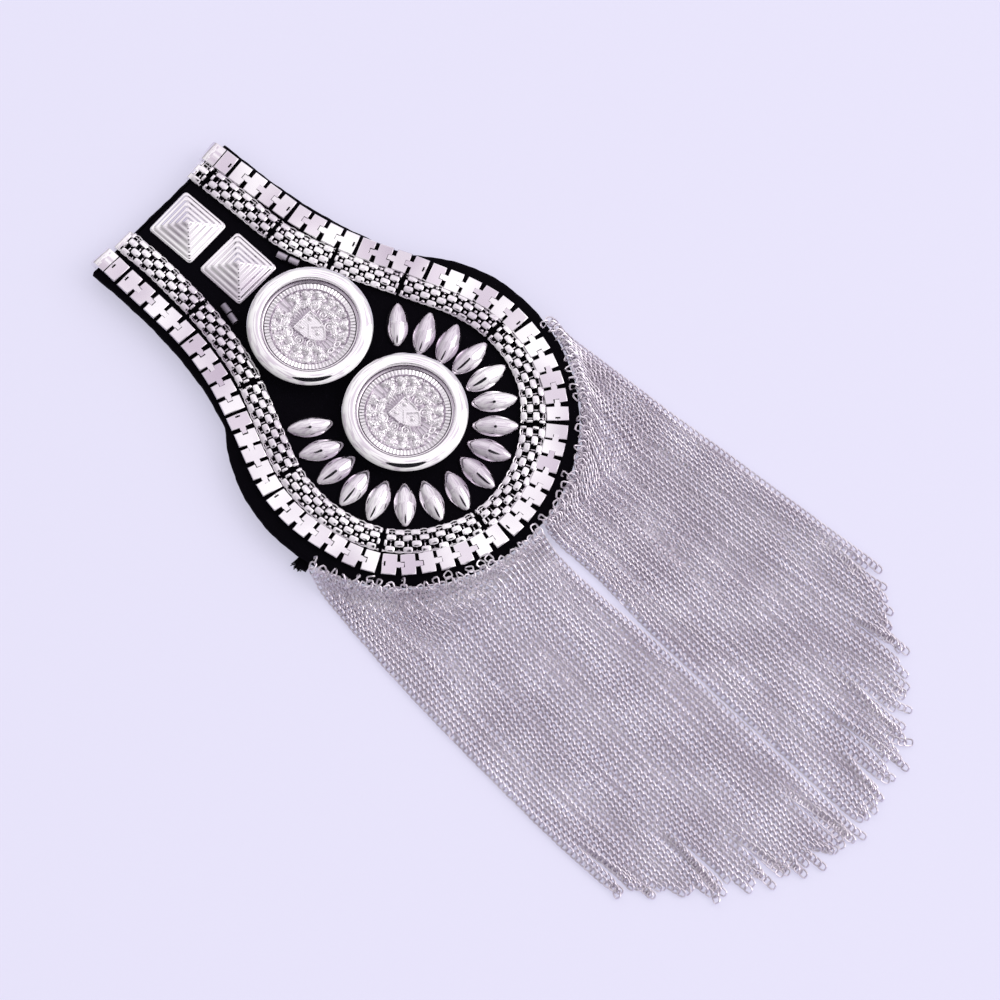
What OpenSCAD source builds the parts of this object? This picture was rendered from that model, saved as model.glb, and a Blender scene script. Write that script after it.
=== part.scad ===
// Chain epaulette: a cloth covered shoulder board edged with two metal trims,
// with two round buttons, a ring of pointed studs, two square studs and a long
// fringe of chains sewn round its round end. It lies on its back, as on a table.
// All lengths are in millimetres. The strap runs along +Y and the fringe
// along -Y. Z is zero on the surface that it lies on.

/* [Board] */
// Radius of the round end
board_r = 35.2; // [33:0.1:38]
// Distance from the middle of the round end to the straight end of the strap
strap_len = 66.5; // [62:0.5:72]
// Width of the strap at its straight end
strap_end_w = 37.9; // [36:0.1:42]
// Width of the strap where it flares out, at strap_root_y
strap_root_w = 50.7; // [48:0.1:54]
// Distance of that place from the middle of the round end
strap_root_y = 25; // [22:0.5:28]
// How late the strap flares, where a higher number keeps it straight for longer
flare_power = 2.5; // [1.5:0.1:4]
// Place of the middle of the round end right of the strap's axis
round_x = -0.3; // [-0.5:0.1:0]
// Thickness of the cloth covered board
board_t = 2; // [1.5:0.1:3]

// How far the strap leans to the left for each millimetre of its length
strap_lean = 0.035; // [0:0.005:0.05]

/* [Trim lines] */
// Place of the middle of the trim's round part above that of the board
trim_y = -1; // [-1.2:0.1:0]
// Place of the middle of the border chain right of the board's middle
chain_x = 0.1; // [0:0.05:0.2]
// Place of the middle of the woven band right of the board's middle
band_x = 0.3; // [0.2:0.05:0.3]
// Angle between the flared sides of the trim and the strap's axis
flare_a = 23.6; // [22:0.1:25]
// Radius of the bend where the strap's sides start to flare
bend_r = 60; // [40:1:66]
// How much flatter than the round end the trim is above its widest place
side_flat = 4.3; // [0:0.1:6]

/* [Border chain] */
// Half the distance between the two chains at the strap's end
chain_end_half = 15.6; // [15.4:0.1:16]
// Angle by which the two chains spread down the strap
chain_taper = 3.4; // [2.5:0.1:4]
// Radius of the chain's middle line round the end
chain_round_r = 30.6; // [30.3:0.1:31]
// Width of a plate across the chain
plate_w = 4.5; // [4:0.1:4.8]
// Thickness of a plate
plate_t = 1.3; // [0.8:0.1:1.6]
// Width of the slot between two plates
plate_slot = 0.5; // [0.4:0.05:0.6]
// Width of the tongue that links a plate to the next one
tongue_w = 1.3; // [1:0.1:1.5]
// Clearance round a tongue in its notch
tongue_gap = 0.12; // [0.1:0.01:0.15]

/* [Woven band] */
// Half the distance between the two bands at the strap's end
band_end_half = 10.45; // [10.3:0.05:10.6]
// Angle by which the two bands spread down the strap
band_taper = 2.1; // [1.5:0.1:3]
// Radius of the band's middle line round the end
band_round_r = 25.7; // [25.4:0.1:26]
// Width of the woven band
band_w = 4.7; // [4:0.1:4.7]
// Thickness of the woven band
band_t = 1.4; // [1:0.1:2]

/* [Buttons] */
// Outer diameter of a button
button_d = 25.4; // [24:0.1:26]
// Height of a button above the board
button_h = 3.9; // [3.4:0.1:4.5]
// Thickness of the button's rolled rim
rim_w = 3.5; // [3:0.1:4]
// Number of reeds in the ring inside the rim
reed_count = 60; // [40:4:80]

/* [Studs] */
// Length of a pointed stud
navette_len = 9.4; // [8:0.1:9.6]
// Width of a pointed stud
navette_w = 4.7; // [4:0.1:5]
// Height of a pointed stud
navette_h = 2.3; // [1.8:0.1:2.3]
// Side of a square stud
pyramid_w = 11.4; // [10:0.1:12]
// Height of a square stud
pyramid_h = 3.8; // [3:0.1:4.5]
// Number of steps up a square stud
pyramid_steps = 6; // [4:1:8]
// Outer diameter of a small tube bead
tube_d = 1.5; // [1.2:0.1:1.8]
// Length of a small tube bead
tube_len = 2.1; // [1.8:0.1:2.4]

/* [Fringe] */
// Number of chains on each side of the parting
strands = 22; // [18:1:24]
// Length of the middle chain's fall below the round end
fringe_drop = 92.5; // [80:0.5:100]
// Thickness of the layer of chains where it lies flat
layer_t = 1.7; // [1.4:0.1:2]

/* [Back] */
// Height of the pin bars under the board
pin_h = 2.6; // [2.4:0.1:3.2]
// Length of a pin bar
pin_len = 28; // [24:1:30]
// Diameter of the pin's wire
pin_wire = 0.9; // [0.8:0.1:1]

/* [Hidden] */
$fn = 96;

cloth = [0.05, 0.04, 0.08];
silver = [0.82, 0.80, 0.83];
steel = [0.60, 0.60, 0.62];

// Height of the board's top, which all the trim is sewn on
top_z = pin_h + board_t;

// Numbers of whole plates in each cut strip of the border chain, from the right
// end of the strap round to its left end
strips = [1, 4, 4, 4, 6, 6, 7, 7, 7, 5, 5, 5, 1];
function sum_to(list, n) = n == 0 ? 0 : list[n - 1] + sum_to(list, n - 1);
plate_count = sum_to(strips, len(strips));
cuts = [for (i = [1:len(strips)]) sum_to(strips, i)];
// The cut nearest the middle of the fringe parts the chain into two nodes
chain_split = sum_to(strips, 7);
// Length of the bent end plate on top of the board, and how far it reaches down
hook_len = 1.2;
hook_drop = 1.5;
hook_gap = 0.3;

// Place of each button: [x, y]
upper_button_at = [0.6, 26.4];
lower_button_at = [0.4, -0.1];

// Square studs: [x, y, turn]
square_studs = [[-0.25, 59.5, 1.5], [0.4, 46.1, 0]];

// Pointed studs stand on rays from the middle of the lower button, from the
// upper left round to the upper right: [distance out, turn off the ray]
navette_first_a = 139.8;
navette_step_a = 16.77;
navettes = [
    [19.1, 3], [18.2, -8], [17.9, -4], [18.3, -4], [18.8, -7], [18.9, 1],
    [18.8, 6], [19.0, -7], [18.8, -4], [18.3, 3], [18.2, 5], [18.2, -4],
    [18.2, 5], [18.0, -1], [17.8, 5], [18.3, -4], [19.8, -6]
];

// Tube beads beside the lower square stud: [x, y, turn from the strap's axis]
tube_beads = [[-7.7, 41.7, -10], [-8.3, 39.3, -12], [8.2, 41.4, 17], [9.0, 38.9, 18]];

// Pin bars: distance of each from the middle of the round end
upper_pin_y = 50;
lower_pin_y = 2;

// Angle below the round end's middle at which the chains part, and the angles
// from straight down of the outermost chain on each side
part_a = 4.2;
left_a = 75.8;
right_a = 79;
// Radius at which a chain leaves the board's edge
edge_r = 36.2;
// Outer edge of the fringe on the left and on the right: [distance from the
// strap's axis at fringe_top, spread for each millimetre down, how soon it slows]
fringe_sides = [[36.6, 0.17, 0.001], [36.1, 0.1, 0]];
fringe_top = -8;
// Where the chain reaches the surface, below the place where it leaves the edge
fall_y = 7;
// Rise of the line of tips towards the sides, for each square millimetre, and
// the place across where it is lowest
tip_curve = 0.0158;
tip_x = -1;
// Angle from chain to chain in the uneven line of tips
tip_vary_a = 211;
// Widest part of the parting: place, lean, half its width, and how soon it closes
part_x = 1.9;
part_y = -49;
part_lean = 0.02;
part_half = 0.9;
part_reach = 12;

// Everything is moved along Y so that the origin is under the middle of the box
tip_y = -board_r - fringe_drop;
home_y = -(strap_len + hook_gap + plate_t + tip_y) / 2;

module home() translate([0, home_y, 0]) children();

// A rail is the line that a trim follows from the strap's right end down to
// the bottom of the round end: a straight run, a bend outwards, a straight
// flare, a flatter arc and a round one. It is seen from the middle of the
// trim's round part.
// rail = [end half width, taper, round radius, run, bend, flare, side arc, round arc]
side_a = -10;

function arc_len(r, a) = r * a * PI / 180;
function unit(a) = [cos(a), sin(a)];

function rail(end_half, taper, round_r) =
    let (
        turn = flare_a - taper,
        side_r = round_r + side_flat,
        drop = strap_len - trim_y,
        touch = side_r * unit(flare_a) - side_flat * unit(side_a),
        lead = bend_r * tan(turn / 2),
        flare = ((touch.x - end_half) * cos(taper) - (drop - touch.y) * sin(taper)) / sin(turn),
        run = ((end_half - touch.x) * cos(flare_a) + (drop - touch.y) * sin(flare_a)) / sin(turn)
    )
    [
        end_half, taper, round_r, run - lead, arc_len(bend_r, turn), flare - lead,
        arc_len(side_r, flare_a - side_a), arc_len(round_r, 90 + side_a)
    ];

function half_length(r) = r[3] + r[4] + r[5] + r[6] + r[7];

// Point and heading at distance s along the right half: [x, y, heading]
function right_half(r, s) =
    let (
        taper = r[1],
        side_r = r[2] + side_flat,
        bend_s = r[3],
        flare_s = bend_s + r[4],
        side_s = flare_s + r[5],
        round_s = side_s + r[6],
        bend_at = [r[0], strap_len - trim_y] + bend_s * unit(taper - 90),
        bend_mid = bend_at + bend_r * unit(taper),
        flare_at = bend_mid - bend_r * unit(flare_a),
        a = s < bend_s ? taper
            : s < flare_s ? taper + (s - bend_s) / arc_len(bend_r, 1)
            : s < side_s ? flare_a
            : s < round_s ? flare_a - (s - side_s) / arc_len(side_r, 1)
            : side_a - (s - round_s) / arc_len(r[2], 1),
        p = s < bend_s ? bend_at - (bend_s - s) * unit(taper - 90)
            : s < flare_s ? bend_mid - bend_r * unit(a)
            : s < side_s ? flare_at + (s - flare_s) * unit(flare_a - 90)
            : s < round_s ? side_r * unit(a) - side_flat * unit(side_a)
            : r[2] * unit(a)
    )
    [p.x, p.y, a - 90];

// The strap leans a little to the left above lean_y
lean_y = 33;
function lean_x(y) = -strap_lean * max(0, y - lean_y);
function leant(p) = [p.x + lean_x(p.y), p.y, p[2] + (p.y > lean_y ? atan(strap_lean) : 0)];

// The whole rail, where the left half is the right half mirrored
function along(r, s) =
    s <= half_length(r) ? leant(right_half(r, s))
    : let (p = right_half(r, 2 * half_length(r) - s)) leant([-p.x, p.y, -p[2]]);

// Distances at which a rail is sampled: short steps in its bends and arcs
function stops(r) =
    let (
        bend = [for (i = [0:6]) r[3] + r[4] * i / 6],
        arc_s = r[3] + r[4] + r[5],
        arc = [for (i = [0:23]) arc_s + (r[6] + r[7]) * i / 24],
        one_side = concat([0], bend, arc),
        n = len(one_side)
    )
    concat(one_side, [half_length(r)], [for (i = [n - 1:-1:0]) 2 * half_length(r) - one_side[i]]);

function beside(r, s, off) = let (p = along(r, s)) [p.x - off * sin(p[2]), p.y + off * cos(p[2])];

module at(r, s) {
    p = along(r, s);
    translate([p.x, p.y]) rotate(p[2]) children();
}

// Outline of the strap, which is wider towards its root
function strap_half(y) =
    strap_end_w / 2
    + (strap_root_w - strap_end_w) / 2
    * pow((strap_len - y) / (strap_len - strap_root_y), flare_power);

module board() home() color(cloth) translate([0, 0, pin_h]) {
    foot_y = strap_root_y - 5;
    steps = 14;
    heights = [for (i = [0:steps]) strap_len + (foot_y - strap_len) * i / steps];
    translate([round_x, 0, 0]) cylinder(r = board_r, h = board_t);
    linear_extrude(board_t) polygon(concat(
        [for (y = heights) [lean_x(y) + strap_half(y), y]],
        [for (i = [steps:-1:0]) let (y = heights[i]) [lean_x(y) - strap_half(y), y]]
    ));
}

// Black tape under the board's edge that carries the chains, with its raw end
// sticking out on the left
module fringe_tape() home() color(cloth) {
    tape_t = 1;
    tape_in = board_r - 5;
    tape_out = board_r - 0.4;
    end_len = 3.2;
    translate([round_x, 0, pin_h - tape_t]) {
        rotate(270 - left_a - 2) rotate_extrude(angle = left_a + right_a + 4)
            translate([tape_in, 0]) square([tape_out - tape_in, tape_t]);
        rotate(270 - left_a - 2) translate([tape_out - 1, 0])
            mirror([0, 1, 0]) cube([end_len, 2, tape_t]);
    }
}

// Border chain: flat plates, each with a tongue that locks into the next
chain_rail = rail(chain_end_half, chain_taper, chain_round_r);
plate_pitch = (2 * half_length(chain_rail) - 2 * hook_len) / plate_count;
function joint_s(i) = hook_len + i * plate_pitch;
function is_cut(i) = len([for (c = cuts) if (c == i && i < plate_count) c]) > 0;

module tongue(gap) {
    neck = 0.4;
    head = 0.5;
    head_w = tongue_w + 0.6;
    translate([-plate_slot / 2 - 0.2, -tongue_w / 2 - gap])
        square([plate_slot + 0.2 + neck + 0.1, tongue_w + 2 * gap]);
    translate([plate_slot / 2 + neck - gap, -head_w / 2 - gap])
        square([head + 2 * gap, head_w + 2 * gap]);
}

module plate(i) translate([0, 0, top_z]) linear_extrude(plate_t) difference() {
    union() {
        at(chain_rail, joint_s(i + 0.5))
            square([plate_pitch - plate_slot, plate_w], center = true);
        if (!is_cut(i + 1)) at(chain_rail, joint_s(i + 1)) tongue(0);
    }
    if (!is_cut(i)) at(chain_rail, joint_s(i)) tongue(tongue_gap);
}

// Side view of the plate that is bent over the strap's end, from the board's
// end at x = 0
module hook_side() {
    translate([-hook_len + plate_slot / 2, 0]) square([hook_len - plate_slot / 2 + hook_gap, plate_t]);
    translate([hook_gap, 0]) intersection() {
        circle(r = plate_t, $fn = 48);
        square(plate_t);
    }
    translate([hook_gap, -hook_drop]) square([plate_t, hook_drop]);
}

module hook_plate(end_s, outward) translate([0, 0, top_z]) at(chain_rail, end_s)
    mirror([outward < 0 ? 1 : 0, 0, 0])
    rotate([90, 0, 0]) linear_extrude(plate_w, center = true) hook_side();

module border_chain_right() home() color(silver) translate([chain_x, trim_y, 0]) {
    hook_plate(0, -1);
    translate([0, 0, top_z]) linear_extrude(plate_t) at(chain_rail, joint_s(0)) tongue(0);
    for (i = [0:chain_split - 1]) plate(i);
}

module border_chain_left() home() color(silver) translate([chain_x, trim_y, 0]) {
    for (i = [chain_split:plate_count - 1]) plate(i);
    difference() {
        hook_plate(2 * half_length(chain_rail), 1);
        translate([0, 0, top_z - 1]) linear_extrude(plate_t + 2)
            at(chain_rail, joint_s(plate_count)) tongue(tongue_gap);
    }
}

// Woven band inside the border chain, with its two ends turned over the strap
band_rail = rail(band_end_half, band_taper, band_round_r);

module band_lip(end_s, outward) at(band_rail, end_s) mirror([outward < 0 ? 1 : 0, 0, 0]) {
    lip_t = 0.8;
    lip_w = band_w - 0.1;
    lip_top = band_t - 0.1;
    rotate([90, 0, 0]) linear_extrude(lip_w, center = true) polygon([
        [-1, 0.1], [hook_gap, 0.1], [hook_gap, -hook_drop],
        [hook_gap + lip_t, -hook_drop], [hook_gap + lip_t, lip_top], [-1, lip_top]
    ]);
}

module woven_band() home() color(silver) translate([band_x, trim_y, top_z]) {
    marks = stops(band_rail);
    last = len(marks) - 1;
    linear_extrude(band_t) polygon(concat(
        [for (s = marks) beside(band_rail, s, band_w / 2)],
        [for (i = [last:-1:0]) beside(band_rail, marks[i], -band_w / 2)]
    ));
    band_lip(0, -1);
    band_lip(2 * half_length(band_rail), 1);
}

// Round button: a rolled rim round a sunk field with a raised ornament
field_r = button_d / 2 - rim_w;
field_z = button_h - 1.5;

module button_body() {
    tube_r = rim_w / 2;
    foot_r = button_d / 2 - 1.2;
    foot_h = button_h - tube_r - 0.4;
    cylinder(r = field_r + 0.5, h = field_z);
    rotate_extrude() {
        translate([field_r - 0.5, 0]) square([foot_r - field_r + 0.5, foot_h]);
        translate([button_d / 2 - tube_r, button_h - tube_r]) circle(r = tube_r);
    }
}

module reeded_ring() {
    reed_in = field_r - 0.9;
    ring_h = 0.5;
    sunk = 0.2;
    translate([0, 0, field_z - sunk]) rotate_extrude() translate([reed_in, 0])
        square([1.4, ring_h + sunk]);
    for (i = [0:reed_count - 1]) rotate(i * 360 / reed_count)
        translate([reed_in + 0.1, -0.2, field_z + ring_h - sunk]) cube([0.7, 0.4, 0.25 + sunk]);
}

// Leaf of the given length and width, from its stalk at the origin along +X
module leaf(l, w) {
    r = (l * l + w * w) / (4 * w);
    intersection() {
        translate([l / 2, r - w / 2]) circle(r = r);
        translate([l / 2, w / 2 - r]) circle(r = r);
    }
}

// Five-pointed star
module star(r) polygon([for (i = [0:9]) (i % 2 == 0 ? r : r * 0.42) * [sin(36 * i), cos(36 * i)]]);

// Plain heater shield with its top edge at y = h / 2
module shield(w, h) {
    translate([-w / 2, h * 0.1]) square([w, h * 0.4]);
    intersection() {
        translate([-w / 2, -h / 2]) square([w, h * 0.61]);
        translate([w * 0.5, h * 0.1]) circle(r = w);
        translate([-w * 0.5, h * 0.1]) circle(r = w);
    }
}

// Ornament: two leafy branches round a shield with a chevron, under a star
module ornament() {
    leaves = 7;
    branch_r = 5.9;
    translate([0, 0, field_z]) {
        for (side = [-1, 1], i = [0:leaves - 1]) {
            a = 270 + side * (22 + i * 18);
            rotate(a) translate([branch_r + 0.3, 0]) rotate(side * 62)
                linear_extrude(0.7) leaf(2.5, 1);
            rotate(a) translate([branch_r - 0.3, 0]) rotate(side * 118)
                linear_extrude(0.6) leaf(2, 0.9);
        }
        linear_extrude(0.8) translate([0, -0.5]) shield(5, 6);
        linear_extrude(1.1) translate([0, -0.5]) difference() {
            shield(4, 4.8);
            translate([0, -0.4]) rotate(45) square(3.2);
        }
        linear_extrude(0.9) translate([0, 4.9]) star(1.7);
    }
}

module button(place) home() color(silver) translate([place.x, place.y, top_z]) {
    button_body();
    reeded_ring();
    ornament();
}
module button_upper() button(upper_button_at);
module button_lower() button(lower_button_at);

// Pointed stud: an arc turned about the stud's long axis, cut off by the board
module navette_stud() {
    rise = navette_w / 2;
    reach = navette_len / 2;
    arc_r = (reach * reach + rise * rise) / (2 * rise);
    intersection() {
        rotate([0, 90, 0]) rotate_extrude() intersection() {
            translate([rise - arc_r, 0]) circle(r = arc_r, $fn = 180);
            translate([0, -reach]) square([rise, 2 * reach]);
        }
        translate([-reach, -rise, rise - navette_h]) cube([2 * reach, 2 * rise, rise * 2]);
    }
}

module navette(i) home() color(silver) {
    a = navette_first_a + i * navette_step_a;
    translate([lower_button_at.x, lower_button_at.y, top_z - navette_w / 2 + navette_h])
        rotate(a) translate([navettes[i][0], 0, 0]) rotate(navettes[i][1]) navette_stud();
}

// Square stud: stepped up to a point, with rounded corners
function rounded_square(w, r) = [
    for (q = [0:3], i = [0:3])
        let (a = 90 * q + 30 * i)
        (w / 2 - r) * [q == 0 || q == 3 ? 1 : -1, q < 2 ? 1 : -1] + r * [cos(a), sin(a)]
];

module square_stud(s) home() color(silver) translate([s[0], s[1], top_z]) rotate(s[2]) {
    step_h = pyramid_h / pyramid_steps;
    step_w = pyramid_w / (pyramid_steps + 0.4);
    for (i = [0:pyramid_steps - 1])
        linear_extrude((i + 1) * step_h)
            polygon(rounded_square(pyramid_w - i * step_w, 0.8 * (1 - i / pyramid_steps)));
}
module square_stud_upper() square_stud(square_studs[0]);
module square_stud_lower() square_stud(square_studs[1]);

module tube_bead(i) home() color(silver)
    translate([tube_beads[i].x, tube_beads[i].y, top_z + tube_d / 2]) rotate(tube_beads[i][2])
    rotate([90, 0, 0]) difference() {
        cylinder(h = tube_len, d = tube_d, center = true, $fn = 32);
        cylinder(h = tube_len + 1, d = tube_d / 2, center = true, $fn = 32);
    }

// Pin bar: a flat bar with a block at each end and a straight wire between them
module pin_bar(y) home() color(steel) translate([0, y, 0]) {
    bar_w = 4.5;
    bar_t = 0.6;
    block = 3.2;
    wire_z = pin_wire / 2 + 0.2;
    translate([-pin_len / 2, -bar_w / 2, pin_h - bar_t]) cube([pin_len, bar_w, bar_t]);
    for (side = [0, 1]) mirror([side, 0, 0])
        translate([pin_len / 2 - block, -bar_w / 2, 0]) cube([block, bar_w, pin_h - bar_t + 0.1]);
    translate([-pin_len / 2 + 1, 0, wire_z]) rotate([0, 90, 0])
        cylinder(h = pin_len - 2, d = pin_wire, $fn = 32);
}
module pin_upper() pin_bar(upper_pin_y);
module pin_lower() pin_bar(lower_pin_y);

// Fringe: the chains of one side lie side by side in one ridged layer, which
// leaves the board's edge, falls to the surface and spreads out on it. m numbers
// the chains from the parting, negative on the left: -21.5, -20.5 ... 20.5, 21.5.
function side_of(m) = m < 0 ? -1 : 1;
function out_a(m) = m < 0 ? left_a : right_a;
function step_a(m) = (out_a(m) - side_of(m) * part_a) / (strands - 0.5);
function start_a(m) = part_a + m * step_a(m);

// Outer edge of the fringe, and the parting, at height y
function outer_x(m, y) =
    let (e = fringe_sides[m < 0 ? 0 : 1], t = fringe_top - y)
    side_of(m) * (e[0] + e[1] * t - e[2] * t * t);
function parting_x(y) = part_x + part_lean * (y - part_y);
function opening(y) = part_half * exp(-pow((y - part_y) / part_reach, 2));

// Place across of chain m at height y. Beside the board the chains that have
// already left it share the room between its edge and the fringe's outer edge.
function lane_x(m, y) =
    let (
        rank = strands - abs(m),
        foot_a = y < -edge_r ? 0 : acos(min(1, max(-1, -y / edge_r))),
        left_so_far = (out_a(m) - foot_a) / step_a(m) + 0.5,
        inner_x = y < -edge_r ? parting_x(y) : round_x + side_of(m) * edge_r * sin(foot_a),
        share = y < -edge_r ? rank / strands : min(1, rank / max(0.5, left_so_far))
    )
    outer_x(m, y) + (inner_x - outer_x(m, y)) * share
    + side_of(m) * opening(y) * exp(-(abs(m) - 0.5) / 3);

// Height of the tip of chain m, where the tips vary by 1 mm up and down
function lane_tip(m) =
    tip_y + 1 + tip_curve * pow(lane_x(m, tip_y) - tip_x, 2) + sin(tip_vary_a * m);

// Stations down line m of the layer: [x, y, height of the underside]. It starts
// inside the skirt, is half way down at slope_y and then lies on the surface.
function stations(m, short) =
    let (
        a = start_a(m),
        root_r = edge_r - 0.3,
        edge_y = -edge_r * cos(a),
        slope_y = edge_y - 0.3 * fall_y,
        land_y = edge_y - fall_y,
        end_y = lane_tip(m) + short,
        flat_rows = 9
    )
    concat(
        [[round_x + root_r * sin(a), -root_r * cos(a), pin_h + 0.9]],
        [[lane_x(m, slope_y), slope_y, pin_h - 0.9]],
        [for (i = [0:flat_rows]) let (y = land_y + (end_y - land_y) * i / flat_rows) [lane_x(m, y), y, 0]]
    );

// The layer of one side: a ridge along each chain, a valley between two
module chain_layer(side) {
    valley = 0.6 * layer_t;
    tooth = 3;
    lines = concat([0.1], [for (k = [0.5:0.5:strands - 0.5]) k], [strands - 0.05]);
    ranks = [for (k = lines) let (ridge = k * 2 % 2 == 1 ? 1 : 0) [
        stations(side * k, ridge == 1 ? 0 : tooth), ridge == 1 ? layer_t : valley
    ]];
    rows = len(ranks);
    cols = len(ranks[0][0]);
    under = [for (r = ranks, p = r[0]) p];
    over = [for (r = ranks, p = r[0]) [p.x, p.y, p.z + r[1]]];
    n = rows * cols;
    skin = [for (i = [0:rows - 2], j = [0:cols - 2]) let (a = i * cols + j)
        [[a, a + cols, a + cols + 1], [a, a + cols + 1, a + 1]]];
    top_faces = [for (q = skin, t = q) [t[0] + n, t[2] + n, t[1] + n]];
    under_faces = [for (q = skin, t = q) t];
    rim = concat(
        [for (j = [0:cols - 2]) [j, j + 1]],
        [for (i = [0:rows - 2]) [(i + 1) * cols - 1, (i + 2) * cols - 1]],
        [for (j = [cols - 1:-1:1]) [(rows - 1) * cols + j, (rows - 1) * cols + j - 1]],
        [for (i = [rows - 1:-1:1]) [i * cols, (i - 1) * cols]]
    );
    walls = [for (e = rim) each [[e[0], e[1], e[1] + n], [e[0], e[1] + n, e[0] + n]]];
    faces = concat(top_faces, under_faces, walls);
    polyhedron(points = concat(under, over), faces = side < 0 ? faces : [for (f = faces) [f[2], f[1], f[0]]]);
}

// Head that the chains hang from: a lip on the board's margin and a skirt
// outside its edge, from angle a0 to a1 counted from straight down
module fringe_head(a0, a1) {
    lip_in = board_r - 0.9;
    lip_t = 0.7;
    skirt_in = board_r + 0.15;
    skirt_out = edge_r + 0.6;
    translate([round_x, 0, 0]) rotate(270 + a0) rotate_extrude(angle = a1 - a0) {
        translate([lip_in, top_z]) square([skirt_out - lip_in, lip_t]);
        translate([skirt_in, pin_h + 0.3]) square([skirt_out - skirt_in, board_t - 0.3 + lip_t]);
    }
}

module fringe_left() home() color(silver) {
    fringe_head(-left_a - 2, part_a - 0.4);
    chain_layer(-1);
}

module fringe_right() home() color(silver) {
    fringe_head(part_a + 0.4, right_a + 2);
    chain_layer(1);
}

board();
fringe_tape();
border_chain_right();
border_chain_left();
woven_band();
button_upper();
button_lower();
square_stud_upper();
square_stud_lower();
for (i = [0:16]) navette(i);
for (i = [0:3]) tube_bead(i);
fringe_left();
fringe_right();
pin_upper();
pin_lower();
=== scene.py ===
"""Finished surfaces of a chain epaulette, built round its fixed solid parts.

Shapes are worked out in millimetres from the middle of the board's round end, with
the strap along +Y and z zero on the table, and are moved and scaled to the part's
own frame when they become meshes.
"""

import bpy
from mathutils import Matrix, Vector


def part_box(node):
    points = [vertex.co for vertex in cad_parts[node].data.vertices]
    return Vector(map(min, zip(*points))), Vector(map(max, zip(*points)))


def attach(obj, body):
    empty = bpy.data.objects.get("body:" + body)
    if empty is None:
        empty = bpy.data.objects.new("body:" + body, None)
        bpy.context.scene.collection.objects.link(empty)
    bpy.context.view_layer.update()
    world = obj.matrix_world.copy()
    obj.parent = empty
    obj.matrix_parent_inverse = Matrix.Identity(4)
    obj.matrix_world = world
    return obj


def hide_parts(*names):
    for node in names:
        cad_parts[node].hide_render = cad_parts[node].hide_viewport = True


bl_info = {
    "name": "Chain epaulette",
    "version": (1, 0, 0),
    "blender": (4, 5, 0),
    "location": "3D View > Sidebar > Epaulette",
    "description": "Cloth board, plate chain, woven band, studs and chain fringe of an epaulette",
    "category": "Add Mesh",
}

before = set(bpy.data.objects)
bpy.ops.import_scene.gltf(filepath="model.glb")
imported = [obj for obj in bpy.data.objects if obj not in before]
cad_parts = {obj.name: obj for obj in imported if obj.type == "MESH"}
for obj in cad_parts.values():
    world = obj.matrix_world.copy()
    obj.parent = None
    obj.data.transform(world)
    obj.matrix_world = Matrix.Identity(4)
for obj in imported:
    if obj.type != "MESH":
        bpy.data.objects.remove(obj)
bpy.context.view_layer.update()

import math

import bpy
import numpy as np
from mathutils import Matrix, Vector

MM = 0.001
BODY = "root"

# Places and sizes shared with the solid parts, in millimetres and degrees

# The board: its round end, and a strap that widens towards it and leans above LEAN_Y
BOARD_R = 35.2
ROUND_X = -0.3
STRAP_LEN = 66.5
STRAP_END_W = 37.9
STRAP_ROOT_W = 50.7
STRAP_ROOT_Y = 25.0
FLARE_POWER = 2.5
LEAN = 0.035
LEAN_Y = 33.0
# The trims' line: its round middle, its flare and the bend above that, the flatter arc
# below it, and the gap before the end of the board
TRIM_Y = -1.0
FLARE_A = 23.6
BEND_R = 60.0
SIDE_FLAT = 4.3
SIDE_A = -10.0
END_GAP = 0.3
# The border chain: plates in each cut length, and what is bent over at either end
STRIPS = (1, 4, 4, 4, 6, 6, 7, 7, 7, 5, 5, 5, 1)
HOOK_LEN = 1.2
# The fringe: chains on a side, the angles round the board where they start and stop, the
# edge they hang over, and for each side its start, its spread and how that slows
STRANDS = 22
PART_A, LEFT_A, RIGHT_A = 4.2, 75.8, 79.0
EDGE_R = 36.2
FRINGE_SIDES = {-1: (36.6, 0.17, 0.001), 1: (36.1, 0.1, 0.0)}
FRINGE_TOP = -8.0
# The line of its tips, and the opening between its sides
TIP_Y = -127.7
TIP_CURVE, TIP_X, TIP_VARY_A = 0.0158, -1.0, 211.0
PARTING = {"x": 1.9, "y": -49.0, "lean": 0.02, "half": 0.9, "reach": 12.0}

# What only the drawn pieces have

# Faces that meet at more than this angle keep a sharp edge
SHARP_A = 40.0
# Size of the patches that handling leaves on plating, and the recess that is fully satin
HANDLED_MM = 11.0
SATIN_RECESS = 0.25
# How far the plates of the border chain tilt, in radians, and the links lean, in degrees
PLATE_TILT = 0.035
LINK_LEAN_A = 32.0
# Seeds of the small irregularities. The fringe's seed is among the settings
SEEDS = {"board": 11, "border_chain": 3, "woven_band": 5}


def node_box(name):
    """Lowest and highest corner of a solid part, in millimetres of the part's frame."""
    low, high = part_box(name)
    return np.array(low) / MM, np.array(high) / MM


BOARD_LOW, BOARD_HIGH = node_box("board")
TOP_Z = BOARD_HIGH[2]
BOARD_Z = BOARD_LOW[2]
HOME = np.array([0.0, BOARD_LOW[1] + BOARD_R, 0.0])


# Colours and materials


def colour(code):
    """Linear colour of an sRGB hex code such as "#C0B8C4"."""
    parts = np.array([int(code[i : i + 2], 16) for i in (1, 3, 5)]) / 255
    linear = np.where(parts <= 0.04045, parts / 12.92, ((parts + 0.055) / 1.055) ** 2.4)
    return (*linear.tolist(), 1.0)


def add_node(tree, kind, inputs=None, **settings):
    """Adds a node with its settings. An input that is a socket is linked, any other is set."""
    node = tree.nodes.new(kind)
    for name, value in settings.items():
        setattr(node, name, value)
    for name, value in (inputs or {}).items():
        if isinstance(value, bpy.types.NodeSocket):
            tree.links.new(value, node.inputs[name])
        else:
            node.inputs[name].default_value = value
    return node


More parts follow.
